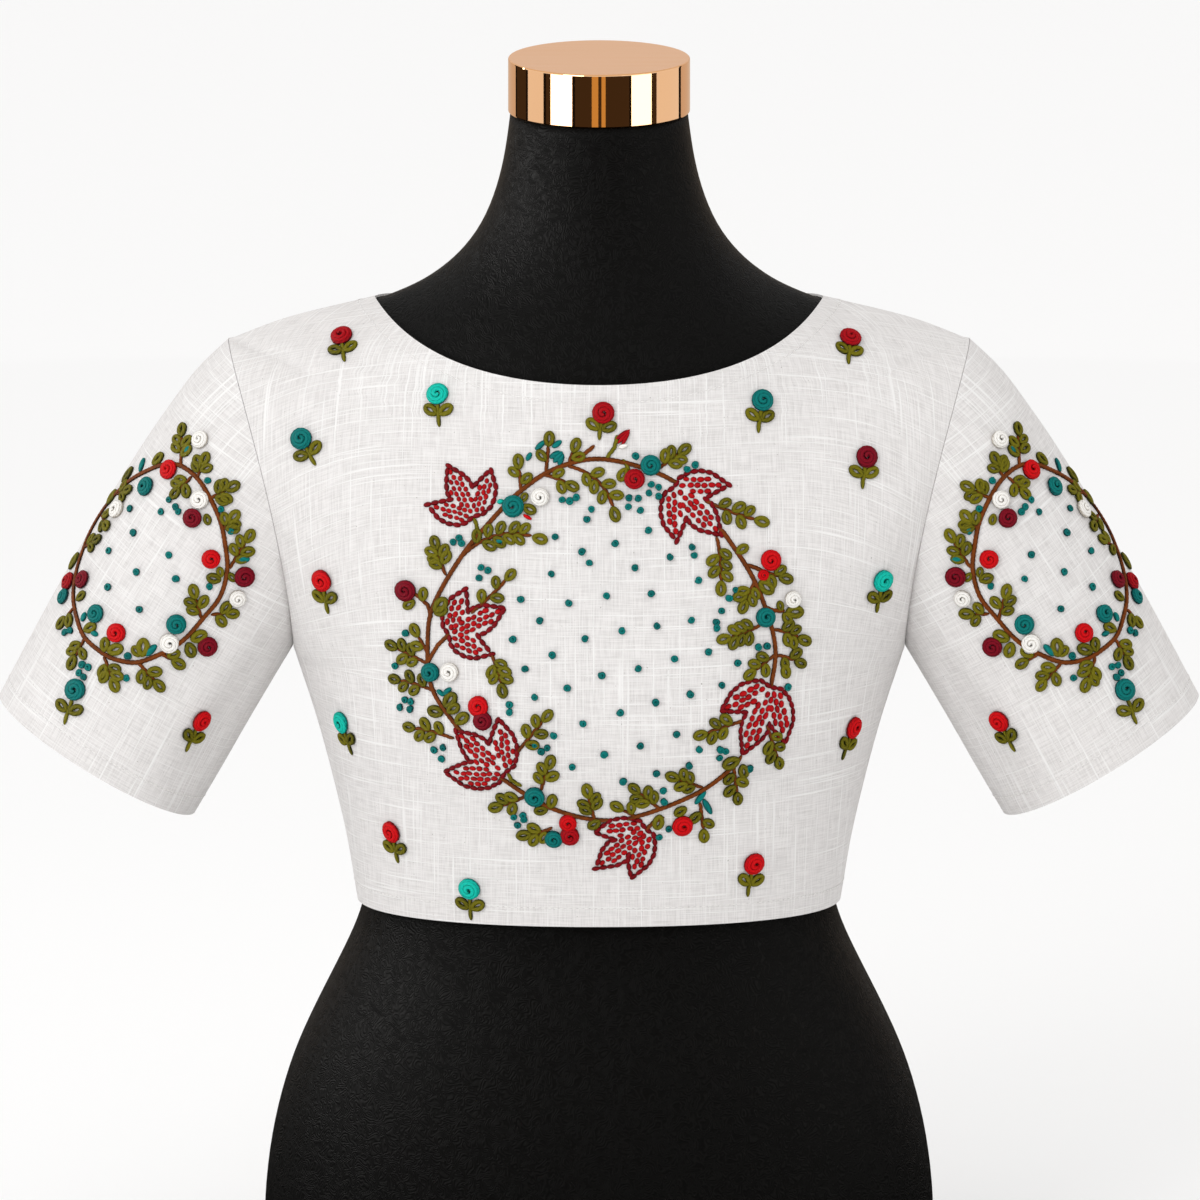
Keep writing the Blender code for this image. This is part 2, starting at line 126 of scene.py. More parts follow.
def shown(name, bm, *materials, smooth_angle=180.0):
    """A new object from a bmesh, shaded smooth but for edges that turn by more than the angle."""
    mesh = bpy.data.meshes.new(name)
    bm.to_mesh(mesh)
    bm.free()
    for material in materials:
        mesh.materials.append(material)
    mesh.shade_smooth()
    if smooth_angle < 180.0:
        mesh.set_sharp_from_angle(angle=math.radians(smooth_angle))
    made = bpy.data.objects.new(name, mesh)
    bpy.context.scene.collection.objects.link(made)
    return made


floor_paint, tree, surface = finish("pale_floor", (0.95, 0.95, 0.95), 0.9, gloss=0.1)
bm = bmesh.new()
bmesh.ops.create_grid(bm, x_segments=1, y_segments=1, size=FLOOR_SIZE / 2)
floor = shown("floor", bm, floor_paint)

# Reflection cards. Tall cards that glow in several tones stand in a ring round the form, over a black sheet
# on the floor. Only shiny surfaces see them, as painted reflection: their glow gives the neck cap its
# upright bands, and the dark cards and the black sheet keep the form black.
CARD_RADIUS = 1.3
# How brightly, and in what colour, each card glows for the painted reflections.
CARD_TONES = {
    "white": (4.6, 4.5, 4.4),
    "cream": (3.4, 3.3, 3.15),
    "pale": (0.96, 0.92, 0.88),
    "dim": (0.70, 0.56, 0.44),
    "amber": (0.67, 0.39, 0.11),
    "umber": (0.055, 0.034, 0.017),
    "black": (0.010, 0.007, 0.005),
}
GLOW_TONE = (26.0, 25.5, 25.0)
CARDS = [
    (-180, -131, "dim"), (-131, -127, "black"), (-127, -105, "umber"), (-105, -101, "black"),
    (-101, -74, "pale"), (-74, -70, "black"), (-70, -63, "umber"), (-63, -34, "white"),
    (-34, -30, "black"), (-30, -9, "umber"), (-9, -1, "amber"), (-1, 3, "umber"), (3, 8, "amber"),
    (8, 38, "umber"), (38, 41, "black"), (41, 69, "cream"), (69, 77, "umber"), (77, 120, "pale"),
    (120, 126, "black"), (126, 180, "dim"),
]


def unseen(card):
    """Leaves a card to the shiny surfaces alone."""
    card.visible_camera = False
    card.visible_diffuse = False
    card.visible_shadow = False


def standing_card(name, tone, start, end, low, high):
    """An upright curved card between two bearings, in degrees to the right from the camera's side."""
    foot = Vector((math.sin(math.radians(start)), -math.cos(math.radians(start)), 0.0)) * CARD_RADIUS
    foot.z = low
    bm = bmesh.new()
    first = bmesh.ops.create_vert(bm, co=foot)["vert"]
    bmesh.ops.spin(
        bm, geom=first, cent=(0, 0, 0), axis=(0, 0, 1), angle=math.radians(end - start),
        steps=max(1, round((end - start) / 8)), use_merge=False,
    )
    raised = bmesh.ops.extrude_edge_only(bm, edges=bm.edges[:])["geom"]
    tops = [item for item in raised if isinstance(item, bmesh.types.BMVert)]
    bmesh.ops.translate(bm, verts=tops, vec=(0, 0, high - low))
    # The card glows in its tone and only shiny surfaces see it: a painted reflection.
    painted_reflection, tree, surface = finish(f"{name}_paper", (0.0, 0.0, 0.0), 1.0, gloss=0.0)
    feed(surface, {"Emission Color": (*tone, 1.0), "Emission Strength": 1.0})
    unseen(shown(name, bm, painted_reflection))


for number, (start, end, tone) in enumerate(CARDS):
    standing_card(f"card_{number}", CARD_TONES[tone], start, end, low=0.15, high=0.85)
# The brighter glow card on the left paints the soft highlight on the left of the form's neck.
standing_card("glow_card", GLOW_TONE, -112, -62, low=0.60, high=0.84)

# A black sheet that only shiny surfaces see: painted dark reflection under the form.
sheet_paint, tree, surface = finish("black_paper", (0.0, 0.0, 0.0), 1.0, gloss=0.0)
bm = bmesh.new()
bmesh.ops.create_circle(bm, cap_ends=True, segments=32, radius=CARD_RADIUS * 2)
bmesh.ops.translate(bm, verts=bm.verts, vec=(0, 0, 0.0002))
unseen(shown("black_sheet", bm, sheet_paint))

# Cover of the dress form. Black leatherette embossed with fine swirling lines, stretched over the padded
# torso. It keeps the solid's shape and smooths its facets.
SWIRL_LINES = 14.0


def node(tree, kind, inputs=(), **settings):
    """A shader node with its settings and its inputs."""
    made = tree.nodes.new("ShaderNode" + kind)
    for name, value in settings.items():
        setattr(made, name, value)
    feed(made, dict(inputs))
    return made


def maths(tree, operation, *values):
    """A sum worked out by one node."""
    return node(tree, "Math", enumerate(values), operation=operation).outputs[0]


def waves(tree, value, count, operation="SINE"):
    """A wave over a value, with so many waves for each unit of it."""
    return maths(tree, operation, maths(tree, "MULTIPLY", value, count * math.tau))


def noise(tree, place, scale, detail, distortion=0.0):
    """Noise with so many waves for each metre."""
    inputs = {"Vector": place, "Scale": scale, "Detail": detail, "Distortion": distortion}
    return node(tree, "TexNoise", inputs).outputs["Fac"]


def ranged(tree, share, low, high):
    """A share of 0 to 1 turned into a value from low to high."""
    return node(tree, "MapRange", {"Value": share, "To Min": low, "To Max": high}).outputs["Result"]


def ramp(tree, value, dark, light, dark_at=0.0, light_at=1.0):
    """A colour that runs from dark to light between two values."""
    made = node(tree, "ValToRGB", {"Fac": value})
    for stop, position, colour in zip(made.color_ramp.elements, (dark_at, light_at), (dark, light)):
        stop.position = position
        stop.color = (*colour, 1.0)
    return made.outputs["Color"]


def bumped(tree, height, strength, distance, over=None):
    """The normals of a surface with the height on it, over those of an earlier bump if there is one."""
    inputs = {"Height": height, "Strength": strength, "Distance": distance}
    if over is not None:
        inputs["Normal"] = over
    return node(tree, "Bump", inputs).outputs["Normal"]


form_hide, tree, surface = finish("black_leatherette", (0.0036, 0.0034, 0.0032), 0.46)
place = node(tree, "TexCoord").outputs["Object"]
lines = waves(tree, noise(tree, place, 130.0, 1.0, 0.4), SWIRL_LINES)
# The swirling lines are painted a little lighter than the ground: painted highlight where the embossed
# ridges catch the light.
feed(surface, {
    "Base Color": ramp(tree, lines, (0.0030, 0.0029, 0.0027), (0.0052, 0.0050, 0.0047)),
    "Roughness": ranged(tree, noise(tree, place, 260.0, 2.0), 0.40, 0.56),
    "Normal": bumped(tree, lines, 0.3, 0.0004),
    "IOR": 1.12,
})

bm = bmesh.new()
bm.from_mesh(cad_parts["dress_form"].data)
bmesh.ops.remove_doubles(bm, verts=bm.verts, dist=0.00002)
form_low, form_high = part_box("dress_form")
caps = [
    face
    for face in bm.faces
    if all(vert.co.z < form_low.z + 0.0005 or vert.co.z > form_high.z - 0.0005 for vert in face.verts)
]
bmesh.ops.dissolve_faces(bm, faces=caps, use_verts=False)
bmesh.ops.join_triangles(
    bm, faces=bm.faces, angle_face_threshold=math.radians(60), angle_shape_threshold=math.radians(60)
)
crease = bm.edges.layers.float.new("crease_edge")
for edge in bm.edges:
    edge[crease] = 1.0 if any(len(face.verts) > 4 for face in edge.link_faces) else 0.0
form = shown("form_cover", bm, form_hide)
smoothing = form.modifiers.new("smooth", "SUBSURF")
smoothing.levels = 2
smoothing.render_levels = 2
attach(form, "root")
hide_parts("dress_form")

# Neck cap. A spun metal lid plated in rose gold, polished on its wall and brushed on top, pushed over the
# end of the neck. Its edge is rolled over a small radius.
CAP_EDGE = 0.0009
CAP_SIDES = 128


def drawn_out(tree, place, scales, detail):
    """Noise with its own number of waves for each metre along each axis."""
    turned = node(tree, "Mapping", {"Vector": place, "Scale": scales})
    return noise(tree, turned.outputs["Vector"], 1.0, detail)


cap_wall, tree, surface = finish("rose_gold_polished", (0.86, 0.52, 0.29), 0.05, metallic=1.0)
place = node(tree, "TexCoord").outputs["Object"]
feed(surface, {"Roughness": ranged(tree, drawn_out(tree, place, (8.0, 8.0, 1800.0), 2.0), 0.02, 0.05)})
cap_top, tree, surface = finish("rose_gold_brushed", (0.70, 0.36, 0.15), 0.30, metallic=1.0)
place = node(tree, "TexCoord").outputs["Object"]
strokes = drawn_out(tree, place, (14.0, 1600.0, 14.0), 3.0)
feed(surface, {
    "Roughness": ranged(tree, strokes, 0.24, 0.40),
    "Normal": bumped(tree, strokes, 0.06, 0.0003),
})

cap_low, cap_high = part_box("neck_cap")
cap_radius = cap_high.x
bm = bmesh.new()
bmesh.ops.create_cone(
    bm,
    cap_ends=True,
    segments=CAP_SIDES,
    radius1=cap_radius,
    radius2=cap_radius,
    depth=cap_high.z - cap_low.z,
    matrix=Matrix.Translation((0.0, 0.0, (cap_low.z + cap_high.z) / 2)),
)
rim = [edge for edge in bm.edges if len({round(vert.co.z, 4) for vert in edge.verts}) == 1]
bmesh.ops.bevel(
    bm, geom=rim, offset=CAP_EDGE, segments=3, profile=0.5, affect="EDGES", material=-1, clamp_overlap=True
)
for face in bm.faces:
    face.material_index = 1 if face.calc_center_median().z > cap_high.z - CAP_EDGE / 2 else 0
cap = shown("neck_cap_plated", bm, cap_wall, cap_top, smooth_angle=10.0)
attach(cap, "root")
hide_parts("neck_cap")

# Body of the blouse. White slub linen in plain weave, cut as a front and two back halves, sewn at the
# shoulders and down the sides. The sleeves are set into its armholes.
# A station runs up the body: 0 is the hem, 1 the underarm, 2 the shoulder tip and 3 the neckline.
WALL = 0.0012
SEAM_INSET = 0.00015
MITRE_LIMIT = 1.8
UNDERARM_HEIGHT = 0.3694
UNDERARM_HALF_WIDTH = 0.1681
TIP_HEIGHT = 0.5400
TIP_HALF_WIDTH = 0.2035
ARMHOLE_HALF_DEPTH = 0.0600
ARMHOLE_LEAN = 1.6
BUST_HALF_SPACING = 0.078
BUST_HEIGHT = 0.350
BUST_RADIUS = 0.050
BUST_FULLNESS = 0.007
BUST_BRIDGE = 0.4
COLUMNS = 96
SIDE_STEPS = 28
ARMHOLE_STEPS = 48
SHOULDER_STEPS = 16
CURVE_SAMPLES = 400

BodyRow = namedtuple("BodyRow", "station near_x near_y near_z handle depth height")
FRONT_ROWS = [
    BodyRow(0.00, 0.1331, 0.0600, 0.2290, 0.0800, 0.0990, 0.2314),  # hem
    BodyRow(0.45, 0.1455, 0.0680, 0.2920, 0.0900, 0.1110, 0.2950),  # under the bust
    BodyRow(0.80, 0.1575, 0.0690, 0.3340, 0.1000, 0.1190, 0.3480),  # bust
    BodyRow(1.00, 0.1650, 0.0690, 0.3560, 0.1030, 0.1170, 0.3850),  # underarm
    BodyRow(1.25, 0.1640, 0.0780, 0.3960, 0.0940, 0.1120, 0.4140),
    BodyRow(1.50, 0.1580, 0.0850, 0.4450, 0.0840, 0.1070, 0.4430),  # middle of the armhole
    BodyRow(1.75, 0.1590, 0.0680, 0.5020, 0.0780, 0.1020, 0.4720),
    BodyRow(2.00, 0.1700, 0.0460, 0.5380, 0.0760, 0.0980, 0.5000),  # shoulder tip
    BodyRow(2.40, 0.1510, 0.0400, 0.5485, 0.0780, 0.0945, 0.5150),
    BodyRow(3.00, 0.1140, 0.0420, 0.5580, 0.0880, 0.0910, 0.5330),  # neckline
]
BACK_ROWS = [
    BodyRow(0.00, 0.1331, 0.0580, 0.2280, 0.0800, 0.0960, 0.2290),
    BodyRow(0.45, 0.1455, 0.0630, 0.2910, 0.0900, 0.1030, 0.2930),
    BodyRow(0.80, 0.1575, 0.0660, 0.3330, 0.1000, 0.1110, 0.3500),
    BodyRow(1.00, 0.1650, 0.0690, 0.3560, 0.1030, 0.1150, 0.3880),
    BodyRow(1.25, 0.1650, 0.0790, 0.3970, 0.0960, 0.1170, 0.4200),
    BodyRow(1.50, 0.1600, 0.0860, 0.4470, 0.0900, 0.1160, 0.4520),
    BodyRow(1.75, 0.1600, 0.0690, 0.5040, 0.0850, 0.1110, 0.4830),
    BodyRow(2.00, 0.1680, 0.0420, 0.5430, 0.0780, 0.1040, 0.5130),
    BodyRow(2.40, 0.1530, 0.0410, 0.5490, 0.0700, 0.0950, 0.5280),
    BodyRow(3.00, 0.1190, 0.0460, 0.5600, 0.0640, 0.0840, 0.5450),
]
EdgeRow = namedtuple("EdgeRow", "station height half_width")
SIDE_SEAM = [
    EdgeRow(0.00, 0.2266, 0.1331),
    EdgeRow(0.26, 0.2634, 0.1392),
    EdgeRow(0.49, 0.2969, 0.1469),
    EdgeRow(0.69, 0.3250, 0.1542),
    EdgeRow(1.00, UNDERARM_HEIGHT, UNDERARM_HALF_WIDTH),
]
SHOULDER_SEAM = [
    EdgeRow(2.00, TIP_HEIGHT, TIP_HALF_WIDTH),
    EdgeRow(2.40, 0.5515, 0.1740),
    EdgeRow(3.00, 0.5640, 0.1232),
]
FRONT, BACK = -1.0, 1.0
MIRROR = np.array([-1.0, 1.0, 1.0])


def read(table, column, at):
    """The named column of a table at a value of its first column, on a smooth curve through its rows."""
    known = np.array([row[0] for row in table])
    values = np.array([getattr(row, column) for row in table])
    slopes = np.gradient(values, known)
    i = int(np.clip(np.searchsorted(known, at) - 1, 0, len(known) - 2))
    span = known[i + 1] - known[i]
    t = (at - known[i]) / span
    return (
        (2 * t**3 - 3 * t**2 + 1) * values[i]
        + (t**3 - 2 * t**2 + t) * span * slopes[i]
        + (3 * t**2 - 2 * t**3) * values[i + 1]
        + (t**3 - t**2) * span * slopes[i + 1]
    )


def unit(vectors):
    """The vectors at length 1."""
    return vectors / np.linalg.norm(vectors, axis=-1, keepdims=True)


def lengths_along(points, axis):
    """Distance run along a grid of points, from its first row or column."""
    steps = np.linalg.norm(np.diff(points, axis=axis), axis=-1)
    none = np.zeros_like(np.take(steps, [0], axis=axis))
    return np.concatenate([none, np.cumsum(steps, axis=axis)], axis=axis)


def points_at(curve, along, wanted):
    """The points of a curve where the value along it is as wanted."""
    return np.stack([np.interp(wanted, along, curve[:, k]) for k in range(3)], axis=-1)


def evenly_spaced(curve, count):
    """Points that divide a curve into equal lengths."""
    along = lengths_along(curve, 0)
    return points_at(curve, along, np.linspace(0.0, along[-1], count + 1))


def armhole_point(turn):
    """A point of the +X armhole: turn 0 at the underarm, pi at the shoulder tip, the front between them."""
    rise = (1.0 - math.cos(turn)) / 2.0
    lean = (TIP_HALF_WIDTH - UNDERARM_HALF_WIDTH) * rise**ARMHOLE_LEAN
    height = UNDERARM_HEIGHT + (TIP_HEIGHT - UNDERARM_HEIGHT) * rise
    return np.array([UNDERARM_HALF_WIDTH + lean, FRONT * ARMHOLE_HALF_DEPTH * math.sin(turn), height])


def body_edge(station):
    """A body panel's side edge: side seam, armhole, then shoulder seam, with depth counted positive."""
    if station <= 1.0:
        return read(SIDE_SEAM, "half_width", station), 0.0, read(SIDE_SEAM, "height", station)
    if station < 2.0:
        x, y, z = armhole_point((station - 1.0) * math.pi)
        return x, abs(y), z
    return read(SHOULDER_SEAM, "half_width", station), 0.0, read(SHOULDER_SEAM, "height", station)


def body_curve(station, table):
    """The curve of a body row, from its side edge to the centre line, with depth counted positive."""
    near_x, near_y, near_z, handle, depth, height = (
        read(table, name, station) for name in BodyRow._fields[1:]
    )
    edge = np.array(body_edge(station))
    near_edge = np.array([near_x, near_y, near_z])
    centre = np.array([0.0, depth, height])
    near_centre = centre + (handle, 0.0, 0.0)
    t = np.linspace(0.0, 1.0, CURVE_SAMPLES)[:, None]
    return (
        (1 - t) ** 3 * edge
        + 3 * t * (1 - t) ** 2 * near_edge
        + 3 * t**2 * (1 - t) * near_centre
        + t**3 * centre
    )


def bust_swell(x, z):
    """How far the bust pushes the front out."""
    beyond = np.abs(x) - BUST_HALF_SPACING
    across = np.where(beyond > 0.0, beyond, BUST_BRIDGE * beyond)
    return BUST_FULLNESS * np.exp(-(across**2 + (z - BUST_HEIGHT) ** 2) / (2 * BUST_RADIUS**2))


def body_row(station, face):
    """One row of the front or the back, from its -X edge to its +X edge."""
    half = evenly_spaced(body_curve(station, FRONT_ROWS if face == FRONT else BACK_ROWS), COLUMNS // 2)
    row = np.concatenate([half * MIRROR, half[-2::-1]])
    if face == FRONT:
        share = np.clip(row[:, 1] / read(FRONT_ROWS, "depth", station), 0.0, 1.0) ** 2
        row[:, 1] += bust_swell(row[:, 0], row[:, 2]) * share
    row[:, 1] *= face
    return row


body_stations = np.concatenate([
    np.linspace(0.0, 1.0, SIDE_STEPS + 1)[:-1],
    1.0 + np.linspace(0.0, 1.0, ARMHOLE_STEPS + 1),
    2.0 + np.linspace(0.0, 1.0, SHOULDER_STEPS + 1)[1:],
])
grids = {
    "front": np.array([body_row(station, FRONT) for station in body_stations]),
    "back": np.array([body_row(station, BACK) for station in body_stations]),
}

# Sleeves. Each is one piece of the same linen, closed by an underarm seam and set into the armhole with a
# little ease. They hang away from the body and keep the soft folds that run out from the underarm.
SLEEVE_STEPS = 36
SleeveRow = namedtuple("SleeveRow", "share top_x top_z under_x under_z half_depth")
SLEEVE_ROWS = [
    SleeveRow(0.00, TIP_HALF_WIDTH, TIP_HEIGHT, UNDERARM_HALF_WIDTH, UNDERARM_HEIGHT, ARMHOLE_HALF_DEPTH),
    SleeveRow(0.10, 0.2200, 0.5240, 0.1738, 0.3598, 0.0615),
    SleeveRow(0.23, 0.2387, 0.4988, 0.1808, 0.3478, 0.0630),
    SleeveRow(0.45, 0.2669, 0.4549, 0.1928, 0.3270, 0.0635),
    SleeveRow(0.70, 0.2957, 0.4047, 0.2060, 0.3035, 0.0640),
    SleeveRow(1.00, 0.3300, 0.3402, 0.2222, 0.2755, 0.0640),
]
Fold = namedtuple("Fold", "angle half_angle from_share to_share depth")
SLEEVE_FOLDS = [
    Fold(42, 13, 0.05, 0.95, 0.0030),
    Fold(76, 11, 0.10, 0.75, 0.0018),
    Fold(318, 13, 0.05, 0.85, 0.0030),
    Fold(284, 12, 0.12, 0.90, 0.0020),
]


def sleeve_fold(turn, share):
    """Depth of the sleeve's soft troughs."""
    degrees = math.degrees(turn) % 360.0
    depth = 0.0
    for fold in SLEEVE_FOLDS:
        away = (degrees - fold.angle) / fold.half_angle
        along = (share - fold.from_share) / (fold.to_share - fold.from_share)
        if 0.0 < along < 1.0:
            depth += fold.depth * math.exp(-(away**2)) * math.sin(math.pi * along) ** 0.8
    return depth


def sleeve_point(turn, share):
    """A point of the +X sleeve: turn as on the armhole and on round the back, share from it to the cuff."""
    top_x, top_z, under_x, under_z, half_depth = (
        read(SLEEVE_ROWS, name, share) for name in SleeveRow._fields[1:]
    )
    trough = 1.0 - sleeve_fold(turn, share) / half_depth
    middle = np.array([top_x + under_x, top_z + under_z]) / 2
    reach = np.array([top_x - under_x, top_z - under_z]) / 2
    x, z = middle - reach * math.cos(turn) * trough
    y = FRONT * half_depth * math.sin(turn) * trough
    seam_x = armhole_point(min(turn, 2 * math.pi - turn))[0]
    flat_x = (TIP_HALF_WIDTH + UNDERARM_HALF_WIDTH) / 2
    flat_x -= (TIP_HALF_WIDTH - UNDERARM_HALF_WIDTH) / 2 * math.cos(turn)
    x += (1.0 - share) ** 3 * (seam_x - flat_x)
    return np.array([x, y, z])


sleeve_turns = np.linspace(0.0, 2 * math.pi, 2 * ARMHOLE_STEPS + 1)
sleeve_shares = np.linspace(0.0, 1.0, SLEEVE_STEPS + 1)
grids["sleeve"] = np.array([
    [sleeve_point(turn, share) for turn in sleeve_turns[:-1]] for share in sleeve_shares
])


def outward(grid, flip, ring=False):
    """Unit normals of a grid of points. A ring closes on itself across its columns."""
    across = np.roll(grid, -1, axis=1) - np.roll(grid, 1, axis=1) if ring else np.gradient(grid, axis=1)
    return unit(np.cross(across, np.gradient(grid, axis=0)) * (-1.0 if flip else 1.0))


def seams():
    """The four seams of the +X side, each a list of the places that it joins: panel, row and column."""
    underarm, tip = SIDE_STEPS, SIDE_STEPS + ARMHOLE_STEPS
    steps = range(ARMHOLE_STEPS + 1)
    return [
        [(("front", row, -1), ("back", row, -1)) for row in range(underarm + 1)],
        [(("front", row, -1), ("back", row, -1)) for row in range(tip, len(body_stations))],
        [(("front", underarm + step, -1), ("sleeve", 0, step)) for step in steps],
        [(("back", underarm + step, -1), ("sleeve", 0, -step)) for step in steps],
    ]


def walls_of(grids):
    """Outer and inner points of each panel, mitred where panels meet so that neighbours stop just short."""
    normals = {
        "front": outward(grids["front"], flip=False),
        "back": outward(grids["back"], flip=True),
        "sleeve": outward(grids["sleeve"], flip=True, ring=True),
    }
    inward = {name: -WALL * normal for name, normal in normals.items()}
    outer = {name: grid.copy() for name, grid in grids.items()}

    def spot(place):
        return tuple(np.round(grids[place[0]][place[1:]], 6))

    meeting = {}
    for seam in seams():
        for places in seam:
            meeting.setdefault(spot(places[0]), set()).update(places)
    shared = {}
    for where, places in meeting.items():
        body = [normals[name][i, j] for name, i, j in sorted(places) if name != "sleeve"]
        sleeve = [normals[name][i, j] for name, i, j in places if name == "sleeve"]
        shared[where] = unit(sum([unit(sum(body))] + sleeve))
        for name, i, j in places:
            facing = max(float(shared[where] @ normals[name][i, j]), 1.0 / MITRE_LIMIT)
            inward[name][i, j] = -WALL / facing * shared[where]

    for seam in seams():
        points = np.array([grids[places[0][0]][places[0][1:]] for places in seam])
        mitre = unit(np.cross(np.gradient(points, axis=0), [shared[spot(places[0])] for places in seam]))
        for places, across in zip(seam, mitre):
            for name, i, j in places:
                inside = (i + 1, j) if name == "sleeve" else (i, -2)
                side = math.copysign(1.0, across @ (grids[name][inside] - grids[name][i, j]))
                outer[name][i, j] += side * SEAM_INSET * across

    for name in ("front", "back"):
        outer[name][:, 0] = outer[name][:, -1] * MIRROR
        inward[name][:, 0] = inward[name][:, -1] * MIRROR
    return {name: (outer[name], outer[name] + inward[name]) for name in grids}


walls = walls_of(grids)


def linen_wall(name, outer, inner, across, along, to_edge, ring=False):
    """A wall of cloth between two grids of points, with its grain in a UV map in metres.

    The distance to the piece's hem or cuff is kept in the attribute to_edge."""
    rows, columns = outer.shape[:2]
    bm = bmesh.new()
    bmesh.ops.create_grid(bm, x_segments=columns - 1, y_segments=rows - 1, size=1.0)
    bm.verts.ensure_lookup_table()
    spot = bm.verts.layers.int.new("spot")
    hem = bm.verts.layers.float.new("to_edge")
    grain = bm.loops.layers.uv.new("grain")
    for index, vert in enumerate(bm.verts):
        i, j = divmod(index, columns)
        vert.co = inner[i, j]
        vert[spot] = index
        vert[hem] = to_edge[i, j]
    for face in bm.faces:
        for loop in face.loops:
            i, j = divmod(loop.vert[spot], columns)
            loop[grain].uv = (across[i, j], along[i, j])
    if ring:
        bmesh.ops.remove_doubles(bm, verts=bm.verts, dist=0.00001)
    raised = bmesh.ops.extrude_face_region(bm, geom=list(bm.faces), use_keep_orig=True)
    for item in raised["geom"]:
        if isinstance(item, bmesh.types.BMVert):
            item.co = outer[divmod(item[spot], columns)]
    bmesh.ops.recalc_face_normals(bm, faces=bm.faces)
    made = shown(name, bm, linen, smooth_angle=50.0)
    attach(made, "root")
    return made


THREAD_PITCH = 0.00067
HEM_TURN = 0.0112
HEM_STEP = 0.0004
SLUB_WAVES = ((800.0, 11.0, 1.0), (11.0, 800.0, 1.0))
FIBRE_WAVES = ((1300.0, 70.0, 1.0), (70.0, 1300.0, 1.0))
GRAIN_LEVELS = 80


def step(tree, value, low, high):
    """A share that climbs softly from 0 to 1 between two values."""
    inputs = {"Value": value, "From Min": low, "From Max": high}
    return node(tree, "MapRange", inputs, interpolation_type="SMOOTHSTEP").outputs["Result"]


def tinted(tree, share, first, second):
    """A colour mixed from two others."""
    return node(tree, "Mix", {0: share, 6: first, 7: second}, data_type="RGBA").outputs[2]


linen, tree, surface = finish("white_slub_linen", (0.80, 0.78, 0.765), 0.85, gloss=0.2)
grain_map = node(tree, "UVMap", uv_map="grain").outputs["UV"]
slubs = maths(tree, "MAXIMUM", *(
    step(tree, drawn_out(tree, grain_map, scales, 1.0), 0.60, 0.70) for scales in SLUB_WAVES
))
threads = maths(tree, "ADD", *(drawn_out(tree, grain_map, scales, 2.0) for scales in FIBRE_WAVES))
yarn = ramp(
    tree, maths(tree, "MULTIPLY", threads, 0.5), (0.60, 0.58, 0.57), (0.765, 0.745, 0.735), 0.34, 0.60
)
speck = step(tree, noise(tree, grain_map, 700.0, 1.0), 0.73, 0.80)
woven = tinted(tree, slubs, yarn, (0.82, 0.81, 0.80, 1.0))
runs = node(tree, "SeparateXYZ", {"Vector": grain_map}).outputs
weave = maths(tree, "MULTIPLY", *(waves(tree, runs[axis], 1.0 / THREAD_PITCH) for axis in (0, 1)))
hem_distance = node(tree, "Attribute", attribute_name="to_edge").outputs["Fac"]
hem_fold = step(tree, hem_distance, HEM_TURN + HEM_STEP, HEM_TURN - HEM_STEP)
bump = bumped(tree, hem_fold, 0.5, 0.0006)
bump = bumped(tree, maths(tree, "ADD", weave, threads), 0.35, 0.00025, bump)
bump = bumped(tree, slubs, 0.4, 0.0003, bump)
feed(surface, {
    "Base Color": tinted(tree, speck, woven, (0.42, 0.40, 0.38, 1.0)),
    "Normal": bump,
    "Sheen Weight": 0.05,
})


def across_cuts(grid, axis):
    """Distance from the middle column, along cuts square to the axis, whatever way the rows lean."""
    heights = (grid @ axis).T
    levels = np.linspace(heights.min(), heights.max(), GRAIN_LEVELS)
    flat = grid - (grid @ axis)[..., None] * axis
    columns = flat.transpose(1, 0, 2)
    cuts = np.array([points_at(column, height, levels) for height, column in zip(heights, columns)])
    run = lengths_along(cuts, 0)
    run -= run[grid.shape[1] // 2]
    return np.array([np.interp(height, levels, row) for height, row in zip(heights, run)]).T


def grain_of(grid, upright=True):
    """Distances across a cloth from its middle column and up it from its first row, along its threads."""
    if upright:
        return across_cuts(grid, np.array([0.0, 0.0, 1.0])), lengths_along(grid * (0.0, 1.0, 1.0), 0)
    across = lengths_along(grid, 1)
    return across - across[:, [grid.shape[1] // 2]], lengths_along(grid, 0)


def laid_sheet(grid, upright=True):
    """Works out the grain distances across and up a cloth's flat cut; they are not kept."""
    across, along = grain_of(grid, upright)


middle = COLUMNS // 2
front_grid, back_grid, sleeve_ring = grids["front"], grids["back"], grids["sleeve"]
across, along = grain_of(front_grid)
front = linen_wall("front_cloth", *walls["front"], across, along, along)
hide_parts("blouse_front")

across, along = grain_of(back_grid)
backs = []
for name, half, opening in (("right", slice(0, middle + 1), -1), ("left", slice(middle, None), 0)):
    outer, inner = (wall[:, half].copy() for wall in walls["back"])
    for skin in (outer, inner):
        skin[:, opening, 0] += SEAM_INSET * (-1.0 if name == "right" else 1.0)
    cloth = linen_wall(f"back_{name}_cloth", outer, inner, across[:, half], along[:, half], along[:, half])
    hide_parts(f"blouse_back_{name}")
    backs.append((cloth, back_grid[:, half]))

# Lapped strip over the back opening. It is two thicknesses of the linen, lies just clear of the two back
# halves and has a row of stitches down each side.
LAP_HALF_WIDTH = 0.010
LAP_LIFT = 0.0003
normal = outward(back_grid, flip=True)[:, middle : middle + 1]
centre = back_grid[:, middle : middle + 1]
reach = back_grid[:, middle + 1 : middle + 2] - centre
share = LAP_HALF_WIDTH / np.linalg.norm(reach, axis=2, keepdims=True)
spread = np.linspace(-1.0, 1.0, 5)[None, :, None]
strip = centre + np.abs(spread) * share * reach * np.where(spread < 0.0, MIRROR, 1.0)
across, along = grain_of(strip)
lap_face = strip + normal * (LAP_LIFT + WALL)
lap = linen_wall("lap_cloth", lap_face, strip + normal * LAP_LIFT, across, along, along)
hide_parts("back_lap")

